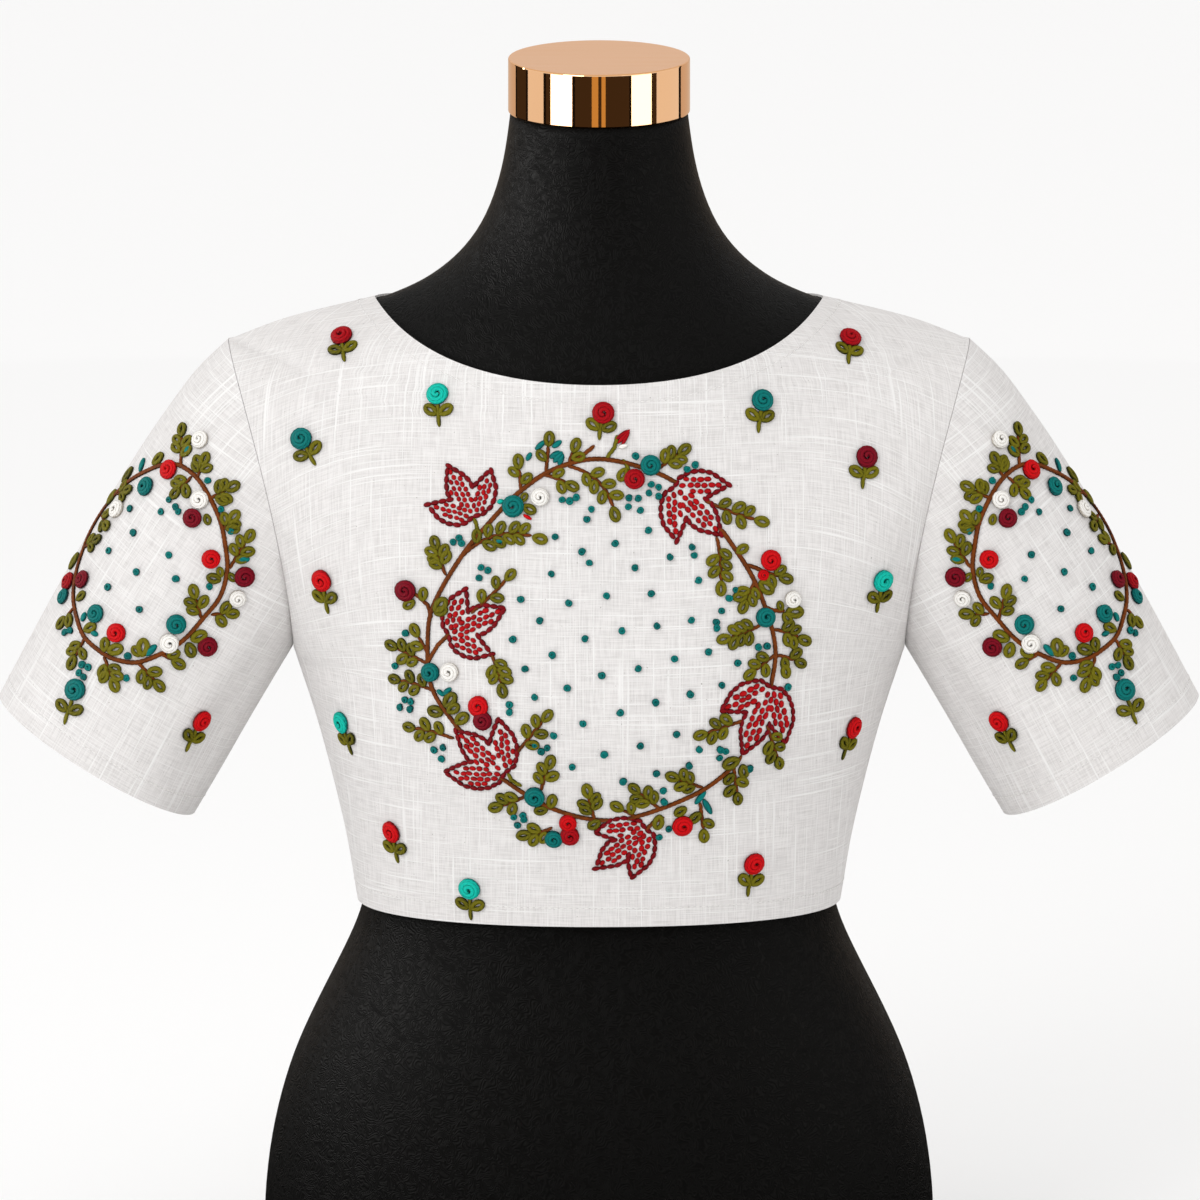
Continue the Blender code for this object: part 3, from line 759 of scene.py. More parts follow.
# Cloth of the sleeves. The two are cut from the same surface, mirrored. Their grain runs down the arm, and
# the distance to the cuff is measured along the cloth.
closed = np.concatenate([sleeve_ring, sleeve_ring[:, :1]], axis=1)
arm = unit(closed[-1].mean(axis=0) - closed[0].mean(axis=0))
across, along = across_cuts(closed, arm), closed @ arm
to_cuff = lengths_along(closed, 0)
to_cuff = to_cuff[-1] - to_cuff
sleeves = []
for name, mirror in (("left", 1.0), ("right", MIRROR)):
    outer, inner = (np.concatenate([wall, wall[:, :1]], axis=1) * mirror for wall in walls["sleeve"])
    cloth = linen_wall(f"sleeve_{name}_cloth", outer, inner, across, along, to_cuff, ring=True)
    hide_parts(f"sleeve_{name}")
    sleeves.append(cloth)

# Embroidery threads. Every stitch is stranded cotton. Four small shapes are modelled once, with the place
# along and around the strand kept at each vertex, which the thread's material turns into a raised twist and
# painted shade down the strand's sides, and each is then laid on the cloth many times over. All stitches of
# one colour are one piece.
STITCH_SIDES = 8
STRAND_SIDES = 6
LEAF_LENGTH = 0.0092
LEAF_WIDTH = 0.0063
LEAF_STRAND = 0.00138
LEAF_STEPS = 18
ROSE_RADIUS = 0.0055
ROSE_SEEN_RADIUS = 0.0051
ROSE_STRAND = 0.0015
ROSE_TURNS = 3.1
ROSE_STEPS = 48
ROSE_RISE = 0.0023
KNOT_RADIUS = 0.0021
KNOT_STRAND = 0.0011
KNOT_TURNS = 1.5
KNOT_STEPS = 18
KNOT_RISE = 0.0009


def as_template(name, bm):
    """A mesh made from a bmesh, with room for each stitch's own tone."""
    bm.verts.layers.float.new("tone")
    bmesh.ops.recalc_face_normals(bm, faces=bm.faces)
    made = bpy.data.meshes.new(name)
    bm.to_mesh(made)
    bm.free()
    return made


def strand_ring(bm):
    """The round section of a strand at X = 1 that faces along Y, with each corner's turn around it kept."""
    around = bm.verts.layers.float.new("around")
    bm.verts.layers.float.new("along")
    section = Matrix.Translation((1.0, 0.0, 0.0)) @ Matrix.Rotation(math.pi / 2, 4, "X")
    ring = bmesh.ops.create_circle(bm, segments=STRAND_SIDES, radius=0.1, matrix=section)["verts"]
    for vert in ring:
        vert[around] = math.atan2(vert.co.x - 1.0, vert.co.z) / math.tau
    return around, bm.verts.layers.float["along"]


def stitch_template():
    """A plump straight stitch, 2 long, 2 wide and 2 high before it is scaled."""
    bm = bmesh.new()
    around = bm.verts.layers.float.new("around")
    along = bm.verts.layers.float.new("along")
    bmesh.ops.create_uvsphere(
        bm, u_segments=STITCH_SIDES, v_segments=6, radius=1.0, matrix=Matrix.Rotation(math.pi / 2, 4, "Y")
    )
    for vert in bm.verts:
        vert[around] = math.atan2(vert.co.y, vert.co.z) / math.tau
        vert[along] = 1.5 * vert.co.x
    return as_template("stitch", bm)


def leaf_template():
    """A looped stitch: a strand led round an almond shape, which starts at the origin and ends at +X."""
    bm = bmesh.new()
    around, along = strand_ring(bm)
    bmesh.ops.spin(
        bm, geom=bm.verts[:] + bm.edges[:], cent=(0, 0, 0), axis=(0, 0, 1), angle=math.tau,
        steps=LEAF_STEPS, use_merge=True,
    )
    long, wide = LEAF_LENGTH - 2 * LEAF_STRAND, LEAF_WIDTH - 2 * LEAF_STRAND

    def loop(turn):
        swell = abs(math.sin(turn)) ** 1.35 * (1.0 - 0.16 * math.cos(turn))
        side = math.copysign(wide / 2 * swell, math.sin(turn))
        return Vector((LEAF_STRAND + long * (1 - math.cos(turn)) / 2, side, 0))

    for vert in bm.verts:
        turn = math.atan2(vert.co.y, vert.co.x)
        ahead = (loop(turn + 0.05) - loop(turn - 0.05)).normalized()
        out = ahead.cross(Vector((0, 0, 1)))
        angle = vert[around] * math.tau
        lift = LEAF_STRAND * (0.62 + 0.10 * math.cos(turn))
        vert[along] = 1000 * turn / math.tau * 2.4 * long
        plump = LEAF_STRAND * (0.80 + 0.20 * abs(math.sin(turn)))
        vert.co = loop(turn) + plump * (out * math.sin(angle) + Vector((0, 0, 0.9 * math.cos(angle))))
        vert.co.z += lift
    return as_template("leaf", bm)


def coil_template(name, radius, strand, turns, steps, rise):
    """A strand wound inward and up into a round knot."""
    bm = bmesh.new()
    around, along = strand_ring(bm)
    bmesh.ops.spin(
        bm, geom=bm.verts[:] + bm.edges[:], cent=(0, 0, 0), axis=(0, 0, 1), dvec=(0, 0, 0.3),
        angle=turns * math.tau, steps=steps, use_merge=False,
    )
    assert len(bm.verts) == STRAND_SIDES * (steps + 1)
    run = 0.0
    for index, vert in enumerate(bm.verts):
        share = (index // STRAND_SIDES) / steps
        turn = turns * math.tau * share
        reach = (radius - 0.75 * strand) * (1.0 - 0.97 * share**2.4)
        plump = strand * min(1.0, 0.6 + 8.0 * share) * (1.0 - 0.16 * share)
        angle = vert[around] * math.tau
        out = Vector((math.cos(turn), math.sin(turn), 0.0))
        middle = out * reach + Vector((0, 0, strand * 0.7 + rise * share))
        vert.co = middle + plump * (out * math.sin(angle) + Vector((0, 0, math.cos(angle))))
        run += 1000 * reach * turns * math.tau / steps / STRAND_SIDES
        vert[along] = run
    ends = [edge for edge in bm.edges if edge.is_boundary]
    bmesh.ops.holes_fill(bm, edges=ends, sides=STRAND_SIDES)
    return as_template(name, bm)


stitch = stitch_template()
leaf = leaf_template()
rose = coil_template("rose", ROSE_RADIUS, ROSE_STRAND, ROSE_TURNS, ROSE_STEPS, ROSE_RISE)
knot = coil_template("knot", KNOT_RADIUS, KNOT_STRAND, KNOT_TURNS, KNOT_STEPS, KNOT_RISE)


def srgb(*seen):
    """A colour as it is seen, in 0 to 255, as the linear values that a shader takes."""
    shares = (value / 255 for value in seen)
    return tuple(
        share / 12.92 if share <= 0.04045 else ((share + 0.055) / 1.055) ** 2.4 for share in shares
    )


def dyed_with_painted_shade(name, light, dark):
    """A strand of cotton ramped between two shades of its dye by painted light and shade, its twist raised.
    """
    made, tree, surface = finish(name, light, 0.72, gloss=0.1)
    turn, run, lit = (
        node(tree, "Attribute", attribute_name=kept).outputs["Fac"] for kept in ("around", "along", "tone")
    )
    plies = maths(tree, "MULTIPLY", turn, 4.0)
    ridge = waves(tree, maths(tree, "MULTIPLY_ADD", run, 0.45, plies), 1.0)
    painted_crown_shade = waves(tree, turn, 1.0, "COSINE")
    fibre = noise(tree, node(tree, "TexCoord").outputs["Object"], 2400.0, 2.0)
    # Painted light and shade: lighter on the strand's crown, darker down its sides and between a rose's
    # turns, and darker in its twist grooves.
    for light_from, share in ((painted_crown_shade, 0.75), (ridge, 0.14), (fibre, 0.3)):
        lit = maths(tree, "MULTIPLY_ADD", light_from, share, lit)
    feed(surface, {
        "Base Color": ramp(tree, lit, dark, light, 0.20, 1.0),
        "Normal": bumped(tree, ridge, 0.5, 0.0003),
    })
    return made


# Each thread's light and dark shade. The dark one stands mostly for the painted shade on the strand's sides
# and in its grooves.
DYES_LIT_AND_SHADED = {
    "leaf": (srgb(110, 104, 10), srgb(38, 40, 2)),
    "stem": (srgb(116, 56, 10), srgb(40, 17, 2)),
    "teal": (srgb(0, 116, 112), srgb(0, 48, 52)),
    "turquoise": (srgb(10, 192, 172), srgb(0, 100, 94)),
    "red": (srgb(208, 2, 12), srgb(104, 0, 6)),
    "crimson": (srgb(168, 2, 16), srgb(74, 0, 8)),
    "maroon": (srgb(124, 2, 26), srgb(46, 0, 10)),
    "white": (srgb(248, 246, 242), srgb(172, 164, 152)),
    "petal_edge": (srgb(124, 2, 14), srgb(54, 0, 6)),
    "petal_fill": (srgb(174, 2, 10), srgb(88, 0, 6)),
    "sewing": (srgb(244, 242, 240), srgb(205, 202, 198)),
}
strands = {name: bmesh.new() for name in DYES_LIT_AND_SHADED}
shake = random.Random(7)


def stamp(dye, shape, place, tone=None):
    """Adds one template to the stitches of a colour."""
    laid = shape.copy()
    laid.transform(place)
    lit = shake.uniform(-0.15, 0.25) if tone is None else tone
    laid.attributes["tone"].data.foreach_set("value", [lit] * len(laid.vertices))
    strands[dye].from_mesh(laid)
    bpy.data.meshes.remove(laid)


# Where the stitches lie. A point of the embroidery is given by its place in the picture, and the line of
# sight through it finds the cloth. Larger motifs are then laid out flat on the cloth and pressed onto it.
shells = {
    "front": walls["front"][0],
    "back": walls["back"][0],
    "lap": lap_face,
    "sleeve_left": np.concatenate([walls["sleeve"][0], walls["sleeve"][0][:, :1]], axis=1),
}
shells["sleeve_right"] = shells["sleeve_left"] * MIRROR
shell_points, shell_faces = [], []
for shell in shells.values():
    rows, columns = shell.shape[:2]
    index = np.arange(rows * columns).reshape(rows, columns) + len(shell_points)
    corners = (index[:-1, :-1], index[:-1, 1:], index[1:, 1:], index[1:, :-1])
    shell_faces += np.stack([corner.ravel() for corner in corners], axis=1).tolist()
    shell_points += shell.reshape(-1, 3).tolist()
cloth_skin = BVHTree.FromPolygons(shell_points, shell_faces)
eye = camera.location.copy()

Spot = namedtuple("Spot", "place normal")


def pressed(point, facing):
    """The nearest place on the cloth, with the cloth's normal on the side that it faces."""
    place, normal, _, _ = cloth_skin.find_nearest(point)
    return Spot(place, normal if normal.dot(facing) > 0 else -normal)


def on_cloth(across, up):
    """The place on the cloth that shows at a point of the picture, given in mm from its middle."""
    aim = FRAME_MIDDLE + VIEW_RIGHT * (across / 1000) + VIEW_UP * (up / 1000)
    place, normal, _, _ = cloth_skin.ray_cast(eye, aim - eye)
    if place is None:
        return pressed(aim, eye - aim)
    return Spot(place, normal if normal.dot(eye - place) > 0 else -normal)


def laid(spot, heading, size=(1.0, 1.0, 1.0), lift=0.0):
    """The matrix that lays a template on the cloth, its X along the heading and its Z out of the cloth."""
    side = spot.normal.cross(heading).normalized()
    ahead = side.cross(spot.normal)
    turned = Matrix((ahead, side, spot.normal)).transposed().to_4x4()
    turned.translation = spot.place + spot.normal * lift
    return turned @ Matrix.Diagonal((*size, 1.0))


def turned_by(heading, spot, degrees):
    """A heading turned about the cloth's normal."""
    return Matrix.Rotation(math.radians(degrees), 3, spot.normal) @ heading


def straight_stitch(dye, spot, heading, size, tone=None):
    """A stitch of the given length, width and height, sunk a little into the cloth."""
    stamp(dye, stitch, laid(spot, heading, [side / 2 for side in size], 0.22 * size[2]), tone)


def evenly(points, pitch):
    """Points and headings at equal steps along a line of points."""
    line = np.array([tuple(point) for point in points])
    along = lengths_along(line, 0)
    count = max(1, round(along[-1] / pitch))
    wanted = (np.arange(count) + 0.5) * along[-1] / count
    ahead = points_at(line, along, wanted + 0.0005) - points_at(line, along, wanted - 0.0005)
    places = points_at(line, along, wanted)
    return [(Vector(place), Vector(step).normalized()) for place, step in zip(places, ahead)]


def stitched_line(dye, points, facing, pitch, size, slant):
    """A line of straight stitches pressed onto the cloth, each slanted by the given degrees."""
    for place, heading in evenly(points, pitch):
        spot = pressed(place, facing)
        straight_stitch(dye, spot, turned_by(heading, spot, slant), size)


def bent(base, tip, bow, steps=16):
    """Points in the picture from base to tip, bowed to the left by the given mm."""
    start, end = np.array(base), np.array(tip)
    side = np.array([start[1] - end[1], end[0] - start[0]]) / math.dist(base, tip)
    t = np.linspace(0.0, 1.0, steps)[:, None]
    return (1 - t) * start + t * end + 4 * t * (1 - t) * side * bow


# Motifs, which the chest wreath, the sleeves and the scattered flowers share: a looped leaf, a leafy twig,
# a wound rose, a bud, a small knot and a tulip with three pointed petals.
# A stitch's size is its length, width and height. Sizes within a tulip are in mm where it is 33 mm long.
TWIG_PITCH = 0.0028
TWIG_STITCH = (0.0052, 0.0021, 0.0019)
TWIG_PARTS = 60
STALK_STITCH = (0.0056, 0.0024, 0.0021)
VINE_PITCH = 0.0026
VINE_STITCH = (0.0066, 0.0023, 0.0023)
STEM_PITCH = 0.0040
STEM_STITCH = (0.0076, 0.0026, 0.0024)
BUD_HEIGHT = 0.0030
BUD_SPREAD = 9000
WIDE_BUD = 4.1
SCATTERED_ROSE = 5.7
SCATTERED_LEAF = 1.12
TULIP_LENGTH = 33.0
TULIP_HALF = [
    (0.0, 0.8), (5.1, -0.4), (9.8, 0.9), (13.9, 3.9), (17.2, 8.6), (19.0, 18.2), (14.6, 17.0),
    (9.9, 15.6), (6.4, 14.6), (7.0, 18.4), (5.4, 23.6), (0.0, 32.2),
]
SIDE_TIP = complex(19.0, 18.2)
SIDE_SHARES = [0.0, 0.6, 1.0, 1.0, 1.0, 1.0, 1.0, 0.9, 0.5, 0.1, 0.0, 0.0]
PETAL_BEARINGS = [(-23.0, 23.0), (23.0, 110.0), (-110.0, -23.0)]
EDGE_PITCH = 0.0042
EDGE_STITCH = (0.0047, 0.0029, 0.0021)
SEED_START = 1.2
SEED_ROW_PITCH = 3.35
SEED_COLUMN_PITCH = 2.7
SEED_JITTER = 0.35
SEED_MARGIN = 1.9
SEED_LENGTHS = (2.9, 3.5)
SEED_WIDTHS = (2.3, 2.8)
SEED_HEIGHT = 0.0017


def add_leaf(spot, heading, size=1.0):
    """A looped leaf that starts at the spot."""
    stamp("leaf", leaf, laid(spot, heading, (size, size, min(size, 1.0))))


def shifted(points, middle):
    """Points of the picture, moved by where their own middle lies."""
    return [(point[0] + middle[0], point[1] + middle[1]) for point in points]


def leaf_at(base, tip, middle):
    """A single leaf between two points of the picture."""
    start, end = (on_cloth(*point) for point in shifted((base, tip), middle))
    step = end.place - start.place
    add_leaf(start, step, min(max(step.length / LEAF_LENGTH, 0.75), 1.3))


def twig(base, tip, side_leaves, bow, middle):
    """A stem with a leaf at its tip and leaves in turn on its two sides."""
    spots = [on_cloth(*point) for point in shifted(bent(base, tip, bow), middle)]
    facing = spots[0].normal
    line = [spot.place for spot in spots]
    run = lengths_along(np.array([tuple(point) for point in line]), 0)
    stem_end = max(0.35, 1.0 - 0.9 * LEAF_LENGTH / run[-1])
    places = evenly(line, run[-1] / TWIG_PARTS)
    stem = [place for place, heading in places[: max(2, int(TWIG_PARTS * stem_end))]]
    side = 1 if shake.random() < 0.5 else -1
    for number in range(side_leaves):
        share = stem_end * (0.22 + 0.68 * (number + 0.3) / side_leaves)
        place, heading = places[int((TWIG_PARTS - 1) * share)]
        spot = pressed(place, facing)
        angle = side * shake.uniform(44, 58)
        add_leaf(spot, turned_by(heading, spot, angle), shake.uniform(0.92, 1.06))
        side = -side
    place, heading = places[int((TWIG_PARTS - 1) * stem_end)]
    add_leaf(pressed(place, facing), heading, shake.uniform(1.0, 1.12))
    stitched_line("stem", stem, facing, TWIG_PITCH, TWIG_STITCH, slant=10)


def turned_spot(place, middle):
    """A spot on the cloth, with a heading at random."""
    spot = on_cloth(*shifted([place], middle)[0])
    return spot, turned_by(spot.normal.orthogonal(), spot, shake.uniform(0, 360))


def add_rose(place, dye, radius, middle):
    """A wound rose of the given radius in mm."""
    spot, heading = turned_spot(place, middle)
    size = radius / 1000 / ROSE_SEEN_RADIUS
    stamp(dye, rose, laid(spot, heading, (size, size, min(1.0, size * 1.1))), 0.1)
    return spot


def add_bud(base, tip, dye, width, middle):
    """A few plump stitches side by side, or one where the bud is narrow."""
    start, end = (on_cloth(*point) for point in shifted((base, tip), middle))
    heading = end.place - start.place
    spot = pressed((start.place + end.place) / 2, start.normal)
    across = spot.normal.cross(heading).normalized()
    count = 3 if width > WIDE_BUD else 1
    each = width / 1000 * (0.57 if count == 3 else 1.1)
    for number in range(count):
        off = (number - (count - 1) / 2) * width / 1000 / count
        length = heading.length * (1.0 if off == 0 else 0.85) + 0.001
        spread = turned_by(heading, spot, -BUD_SPREAD * off)
        beside = pressed(spot.place + across * off, spot.normal)
        straight_stitch(dye, beside, spread, (length, each, BUD_HEIGHT))


def add_knot(place, middle):
    """A small wound knot."""
    spot, heading = turned_spot(place, middle)
    size = shake.uniform(0.92, 1.08)
    stamp("teal", knot, laid(spot, heading, (size, size, size)))


class Tulip:
    """A tulip's outline on the cloth, from its base towards the tip of its middle petal."""

    def __init__(self, base, tip, left, right, middle):
        start, end = (on_cloth(*point) for point in shifted((base, tip), middle))
        step = end.place - start.place
        self.size = step.length / TULIP_LENGTH
        self.base = start
        self.ahead = (step - start.normal * step.dot(start.normal)).normalized()
        self.side = self.ahead.cross(start.normal)
        self.leans, halves = [0.0], []
        for point, flip in ((right, 1.0), (left, -1.0)):
            goal = self.flat(on_cloth(*shifted([point], middle)[0]).place)
            self.leans.append(math.degrees(math.atan2(goal[0], goal[1])))
            turn = complex(goal[0] * flip, goal[1]) / SIDE_TIP
            half = [complex(*place) * turn**share for place, share in zip(TULIP_HALF, SIDE_SHARES)]
            halves.append([np.array([place.real * flip, place.imag]) for place in half])
        self.outline = halves[0] + halves[1][-2:0:-1]

    def spot(self, point):
        """The spot on the cloth at a flat point."""
        flat = self.base.place + self.heading(point) * self.size
        return pressed(flat, self.base.normal)

    def heading(self, direction):
        """A flat direction in space."""
        return self.side * float(direction[0]) + self.ahead * float(direction[1])

    def flat(self, place):
        """The flat point, in mm at full size, that a place on the cloth has."""
        off = place - self.base.place
        return np.array([off.dot(self.side), off.dot(self.ahead)]) / self.size

    def inside(self, point, margin):
        """Whether a flat point lies within the outline by at least the margin, in mm at full size."""
        hit, nearest = False, 1e9
        for first, second in zip(self.outline, self.outline[1:] + self.outline[:1]):
            if (first[1] > point[1]) != (second[1] > point[1]):
                reach = first[0] + (point[1] - first[1]) / (second[1] - first[1]) * (second[0] - first[0])
                hit ^= bool(point[0] < reach)
            edge = second - first
            share = np.clip((point - first) @ edge / (edge @ edge), 0.0, 1.0)
            nearest = min(nearest, float(np.linalg.norm(point - first - share * edge)))
        return nearest >= margin if hit else nearest <= -margin

    def sew(self):
        """A ring of stitches round the petals, and seed stitches within each of them."""
        ring = [tuple(point) + (0.0,) for point in self.outline + self.outline[:1]]
        for place, heading in evenly(ring, EDGE_PITCH / self.size):
            straight_stitch("petal_edge", self.spot(place), self.heading(heading), EDGE_STITCH)
        for lean, bearings in zip(self.leans, PETAL_BEARINGS):
            self.fill(lean, *bearings)

    def fill(self, lean, low, high):
        """Seed stitches along the petal that leans by an angle and lies between two bearings."""
        along = np.array([math.sin(math.radians(lean)), math.cos(math.radians(lean))])
        across = np.array([along[1], -along[0]])
        for column in range(-6, 7):
            for row in range(12):
                up = SEED_START + SEED_ROW_PITCH * (row + 0.5 * (column % 2))
                point = along * up + across * SEED_COLUMN_PITCH * column
                point += [shake.uniform(-SEED_JITTER, SEED_JITTER) for axis in (0, 1)]
                bearing = math.degrees(math.atan2(point[0], point[1]))
                if low <= bearing < high and self.inside(point, SEED_MARGIN):
                    heading = turned_by(self.heading(along), self.base, shake.uniform(-16, 16))
                    length = shake.uniform(*SEED_LENGTHS) * self.size
                    width = shake.uniform(*SEED_WIDTHS) * self.size
                    straight_stitch("petal_fill", self.spot(point), heading, (length, width, SEED_HEIGHT))


def add_scattered(place, foot, dye, middle):
    """A single small flower: a rose on a short stem with two leaves, from the rose to the stem's foot."""
    spot = add_rose(place, dye, SCATTERED_ROSE, middle)
    down = on_cloth(*shifted([foot], middle)[0]).place - spot.place
    fork = pressed(spot.place + down * 0.70, spot.normal)
    for angle in (shake.uniform(116, 132), shake.uniform(-132, -116)):
        add_leaf(fork, turned_by(down, fork, angle), SCATTERED_LEAF)
    lower = [spot.place + down * share for share in (0.3, 1.0)]
    stitched_line("leaf", lower, spot.normal, STEM_PITCH, STEM_STITCH, slant=6)


# Chest wreath. A brown vine is led round in an uneven ring and carries leafy twigs, six tulips and small
# wound roses in red, teal and white. Teal knots fill the ring in slanting rows. All is worked by hand.
# Places are in mm from the wreath's middle, across and up. The vine is an angle from the top and a radius.
WREATH = (1.7, -22.6)
VINE = [
    (0, 100.1), (20, 96.8), (36, 91.9), (52, 88.6), (70, 89.7), (90, 94.1), (104, 95.2), (120, 97.9),
    (133, 99), (150, 97.9), (175, 98.5), (195, 96.3), (215, 93.5), (226, 91.3), (240, 93), (255, 97.4),
    (270, 96.3), (282, 95.2), (300, 90.8), (315, 90.2), (331, 94.1), (345, 98.5),
]
SPRIGS = [
    ((-45.1, 83.1), (-46.8, 102.3), 2, 0), ((-31.4, 93), (-29.2, 115), 1, 0),
    ((-18.7, 98.5), (-13.8, 111.1), 1, 0), ((-31.4, 91.3), (-14.3, 83.1), 2, 1),
    ((-18.7, 96.3), (6.6, 66), 6, 7), ((-77, 47.3), (-31.4, 54.5), 9, 8),
    ((-86.9, 36.9), (-93.5, 57.8), 5, 0), ((-72.1, 16), (-48.4, 39.6), 3, -1),
    ((-95.7, -7.7), (-105.1, 9.4), 1, 0), ((-96.8, -12.1), (-119.4, -0.6), 4, 0),
    ((-92.4, -27.5), (-117.7, -20.4), 4, -1), ((-82.5, -53.4), (-109.5, -46.8), 4, -1),
    ((-61.6, -6.6), (-55, -30.8), 5, 1), ((-46.8, -60.5), (-28.1, -38), 4, 0),
    ((-34.1, -81.4), (-28.1, -63.3), 3, 0), ((-42.9, -85.2), (-62.2, -91.3), 3, 1),
    ((-28.6, -102.9), (-46.8, -106.2), 3, 1), ((-5, -97.4), (-9.4, -79.2), 4, 0),
    ((18.7, -96.8), (4.4, -89.1), 1, 0), ((30.8, -91.9), (14.3, -78.7), 4, 0),
    ((53.9, -80.3), (34.7, -73.2), 4, 0), ((53.4, -89.1), (55.6, -110), 2, 0),
    ((71.5, -67.7), (74.2, -89.7), 3, 0), ((90.2, -46.8), (97.4, -69.9), 4, 0),
    ((75.9, -44), (49.5, -52.8), 4, 0), ((94.1, -7.7), (77.6, -20.4), 3, 0),
    ((95.7, -7.7), (110.6, -13.8), 2, 1), ((86.4, 8.8), (62.7, 0.6), 6, 1),
    ((94.1, 6.6), (112.8, -1.1), 4, 1), ((83.1, 32.5), (75.4, 15.4), 4, 0),
    ((89.1, 38), (103.4, 33.6), 2, 0), ((62.7, 56.7), (64.4, 25.3), 5, 1),
    ((56.7, 77), (90.8, 64.9), 5, -1), ((30.8, 95.2), (47.3, 107.3), 4, 0),
]
LEAVES = [
    ((-93, 15.4), (-83.6, 26.4)), ((-93, 14.9), (-84.7, 18.2)), ((-99, 21.5), (-98.5, 30.3)),
    ((-102.9, 22.6), (-110, 18.2)), ((-86.9, -39.6), (-96.8, -37.4)), ((-87.5, -36.3), (-80.3, -28.1)),
    ((-85.8, -39.1), (-78.1, -34.7)), ((-81.4, -45.1), (-73.2, -39.6)), ((-29.2, -91.9), (-27, -83.6)),
    ((-29.7, -91.9), (-38.5, -93.5)), ((-1.1, -97.9), (-8.8, -102.9)), ((31.4, -94.6), (29.2, -104)),
    ((46.2, -90.8), (38.5, -95.7)), ((75.4, -64.4), (63.8, -69.3)), ((75.9, -67.1), (78.1, -75.4)),
    ((99, -12.1), (101.2, -20.9)), ((97.9, 16), (96.8, 22)), ((98.5, 16), (103.4, 9.4)),
    ((99.6, 16.5), (111.7, 16)), ((85.2, 33.6), (94.6, 25.3)), ((72.6, 48.4), (80.3, 52.8)),
    ((13.2, 95.7), (8.2, 87.5)), ((-45.1, 75.9), (-41.8, 82)), ((-44.6, 74.8), (-36.3, 70.4)),
]
STALKS = [
    ("leaf", [(-70.4, 58.3), (-69.3, 62.2), (-70.4, 66.6)]),
    ("stem", [(-95.7, -10.5), (-90.8, -2.2), (-85.2, 3.3)]),
    ("stem", [(-94.6, 13.8), (-96.3, 19.8), (-102.9, 25.9)]),
    ("leaf", [(2.2, 101.2), (6.1, 106.2), (7.7, 112.2)]),
    ("stem", [(-14.9, 100.1), (-10.5, 102.9), (-5.5, 106.7)]),
    ("stem", [(32.5, -97.4), (28.1, -99), (24.2, -102.9)]),
    ("stem", [(89.1, 18.7), (93, 17.1), (98.5, 16.5)]),
    ("leaf", [(11.6, 99), (13.2, 96.3), (14.3, 91.9)]),
    ("stem", [(79.8, 41.8), (84.2, 40.2), (88.6, 38)]),
    ("leaf", [(-51.7, -73.2), (-50.6, -75.9), (-45.7, -79.2)]),
]
TULIPS = [
    ((-70.9, 67.8), (-85.7, 97.3), (-96.6, 75.1), (-61.7, 94.4)),
    ((38.4, 85.5), (65.8, 57.4), (69.3, 85.9), (40.5, 54.9)),
    ((-85.6, 3.2), (-52.6, 18.7), (-75.2, 28.9), (-60.9, -7.2)),
    ((-53.3, -72.9), (-82.2, -47.6), (-87.7, -71.6), (-57.5, -41.4)),
    ((92.3, -24.3), (75.7, -63.7), (100.2, -56.8), (64.1, -38.4)),
    ((24.0, -102.4), (-4.9, -125.5), (15.6, -130.2), (-4.9, -105.0)),
]
ROSES = [
    ((25.9, 96.8), "teal", 5.3), ((17.1, 89.1), "crimson", 5.3), ((-49.5, 74.2), "teal", 5.7),
    ((-34.7, 79.2), "white", 4.7), ((-108.4, 28.1), "maroon", 5.6), ((-94.6, -17.1), "teal", 4.9),
    ((-84.2, -17.1), "white", 4.9), ((-68.2, -35.8), "red", 5.4), ((-66, -43.5), "maroon", 5),
    ((-37.4, -85.2), "teal", 5.3), ((-19.2, -99.6), "red", 4.6), ((-18.2, -106.7), "crimson", 5),
    ((-27, -108.4), "teal", 4.6), ((43.5, -101.2), "red", 5.4), ((91.9, 44.6), "red", 5.4),
    ((88, 36.3), "red", 3), ((104, 23.1), "white", 4.4), ((89.1, 13.2), "teal", 5.1),
]
BUDS = [
    ((8.2, 108.9), (14.3, 116.1), "crimson", 4.2), ((-41.8, 99.6), (-39.6, 103.4), "teal", 2.8),
    ((-36.9, 105.6), (-31.9, 110), "teal", 3), ((-27.5, 106.7), (-23.1, 110), "teal", 3),
    ((-27, 98.5), (-22.6, 104), "teal", 6.2), ((-59.4, 55), (-54.5, 55), "teal", 2.6),
    ((-57.8, 76.5), (-55, 77), "turquoise", 2.6), ((-90.8, -27), (-87.5, -29.7), "teal", 2.8),
    ((-87.5, -29.2), (-83.6, -25.9), "teal", 3), ((56.1, -82.5), (50.6, -89.1), "teal", 3.4),
    ((55, -86.9), (59.4, -94.6), "teal", 3.4), ((8.8, 106.7), (13.2, 107.8), "white", 2.6),
    ((-43.5, 69.3), (-39.6, 67.1), "red", 2),
]
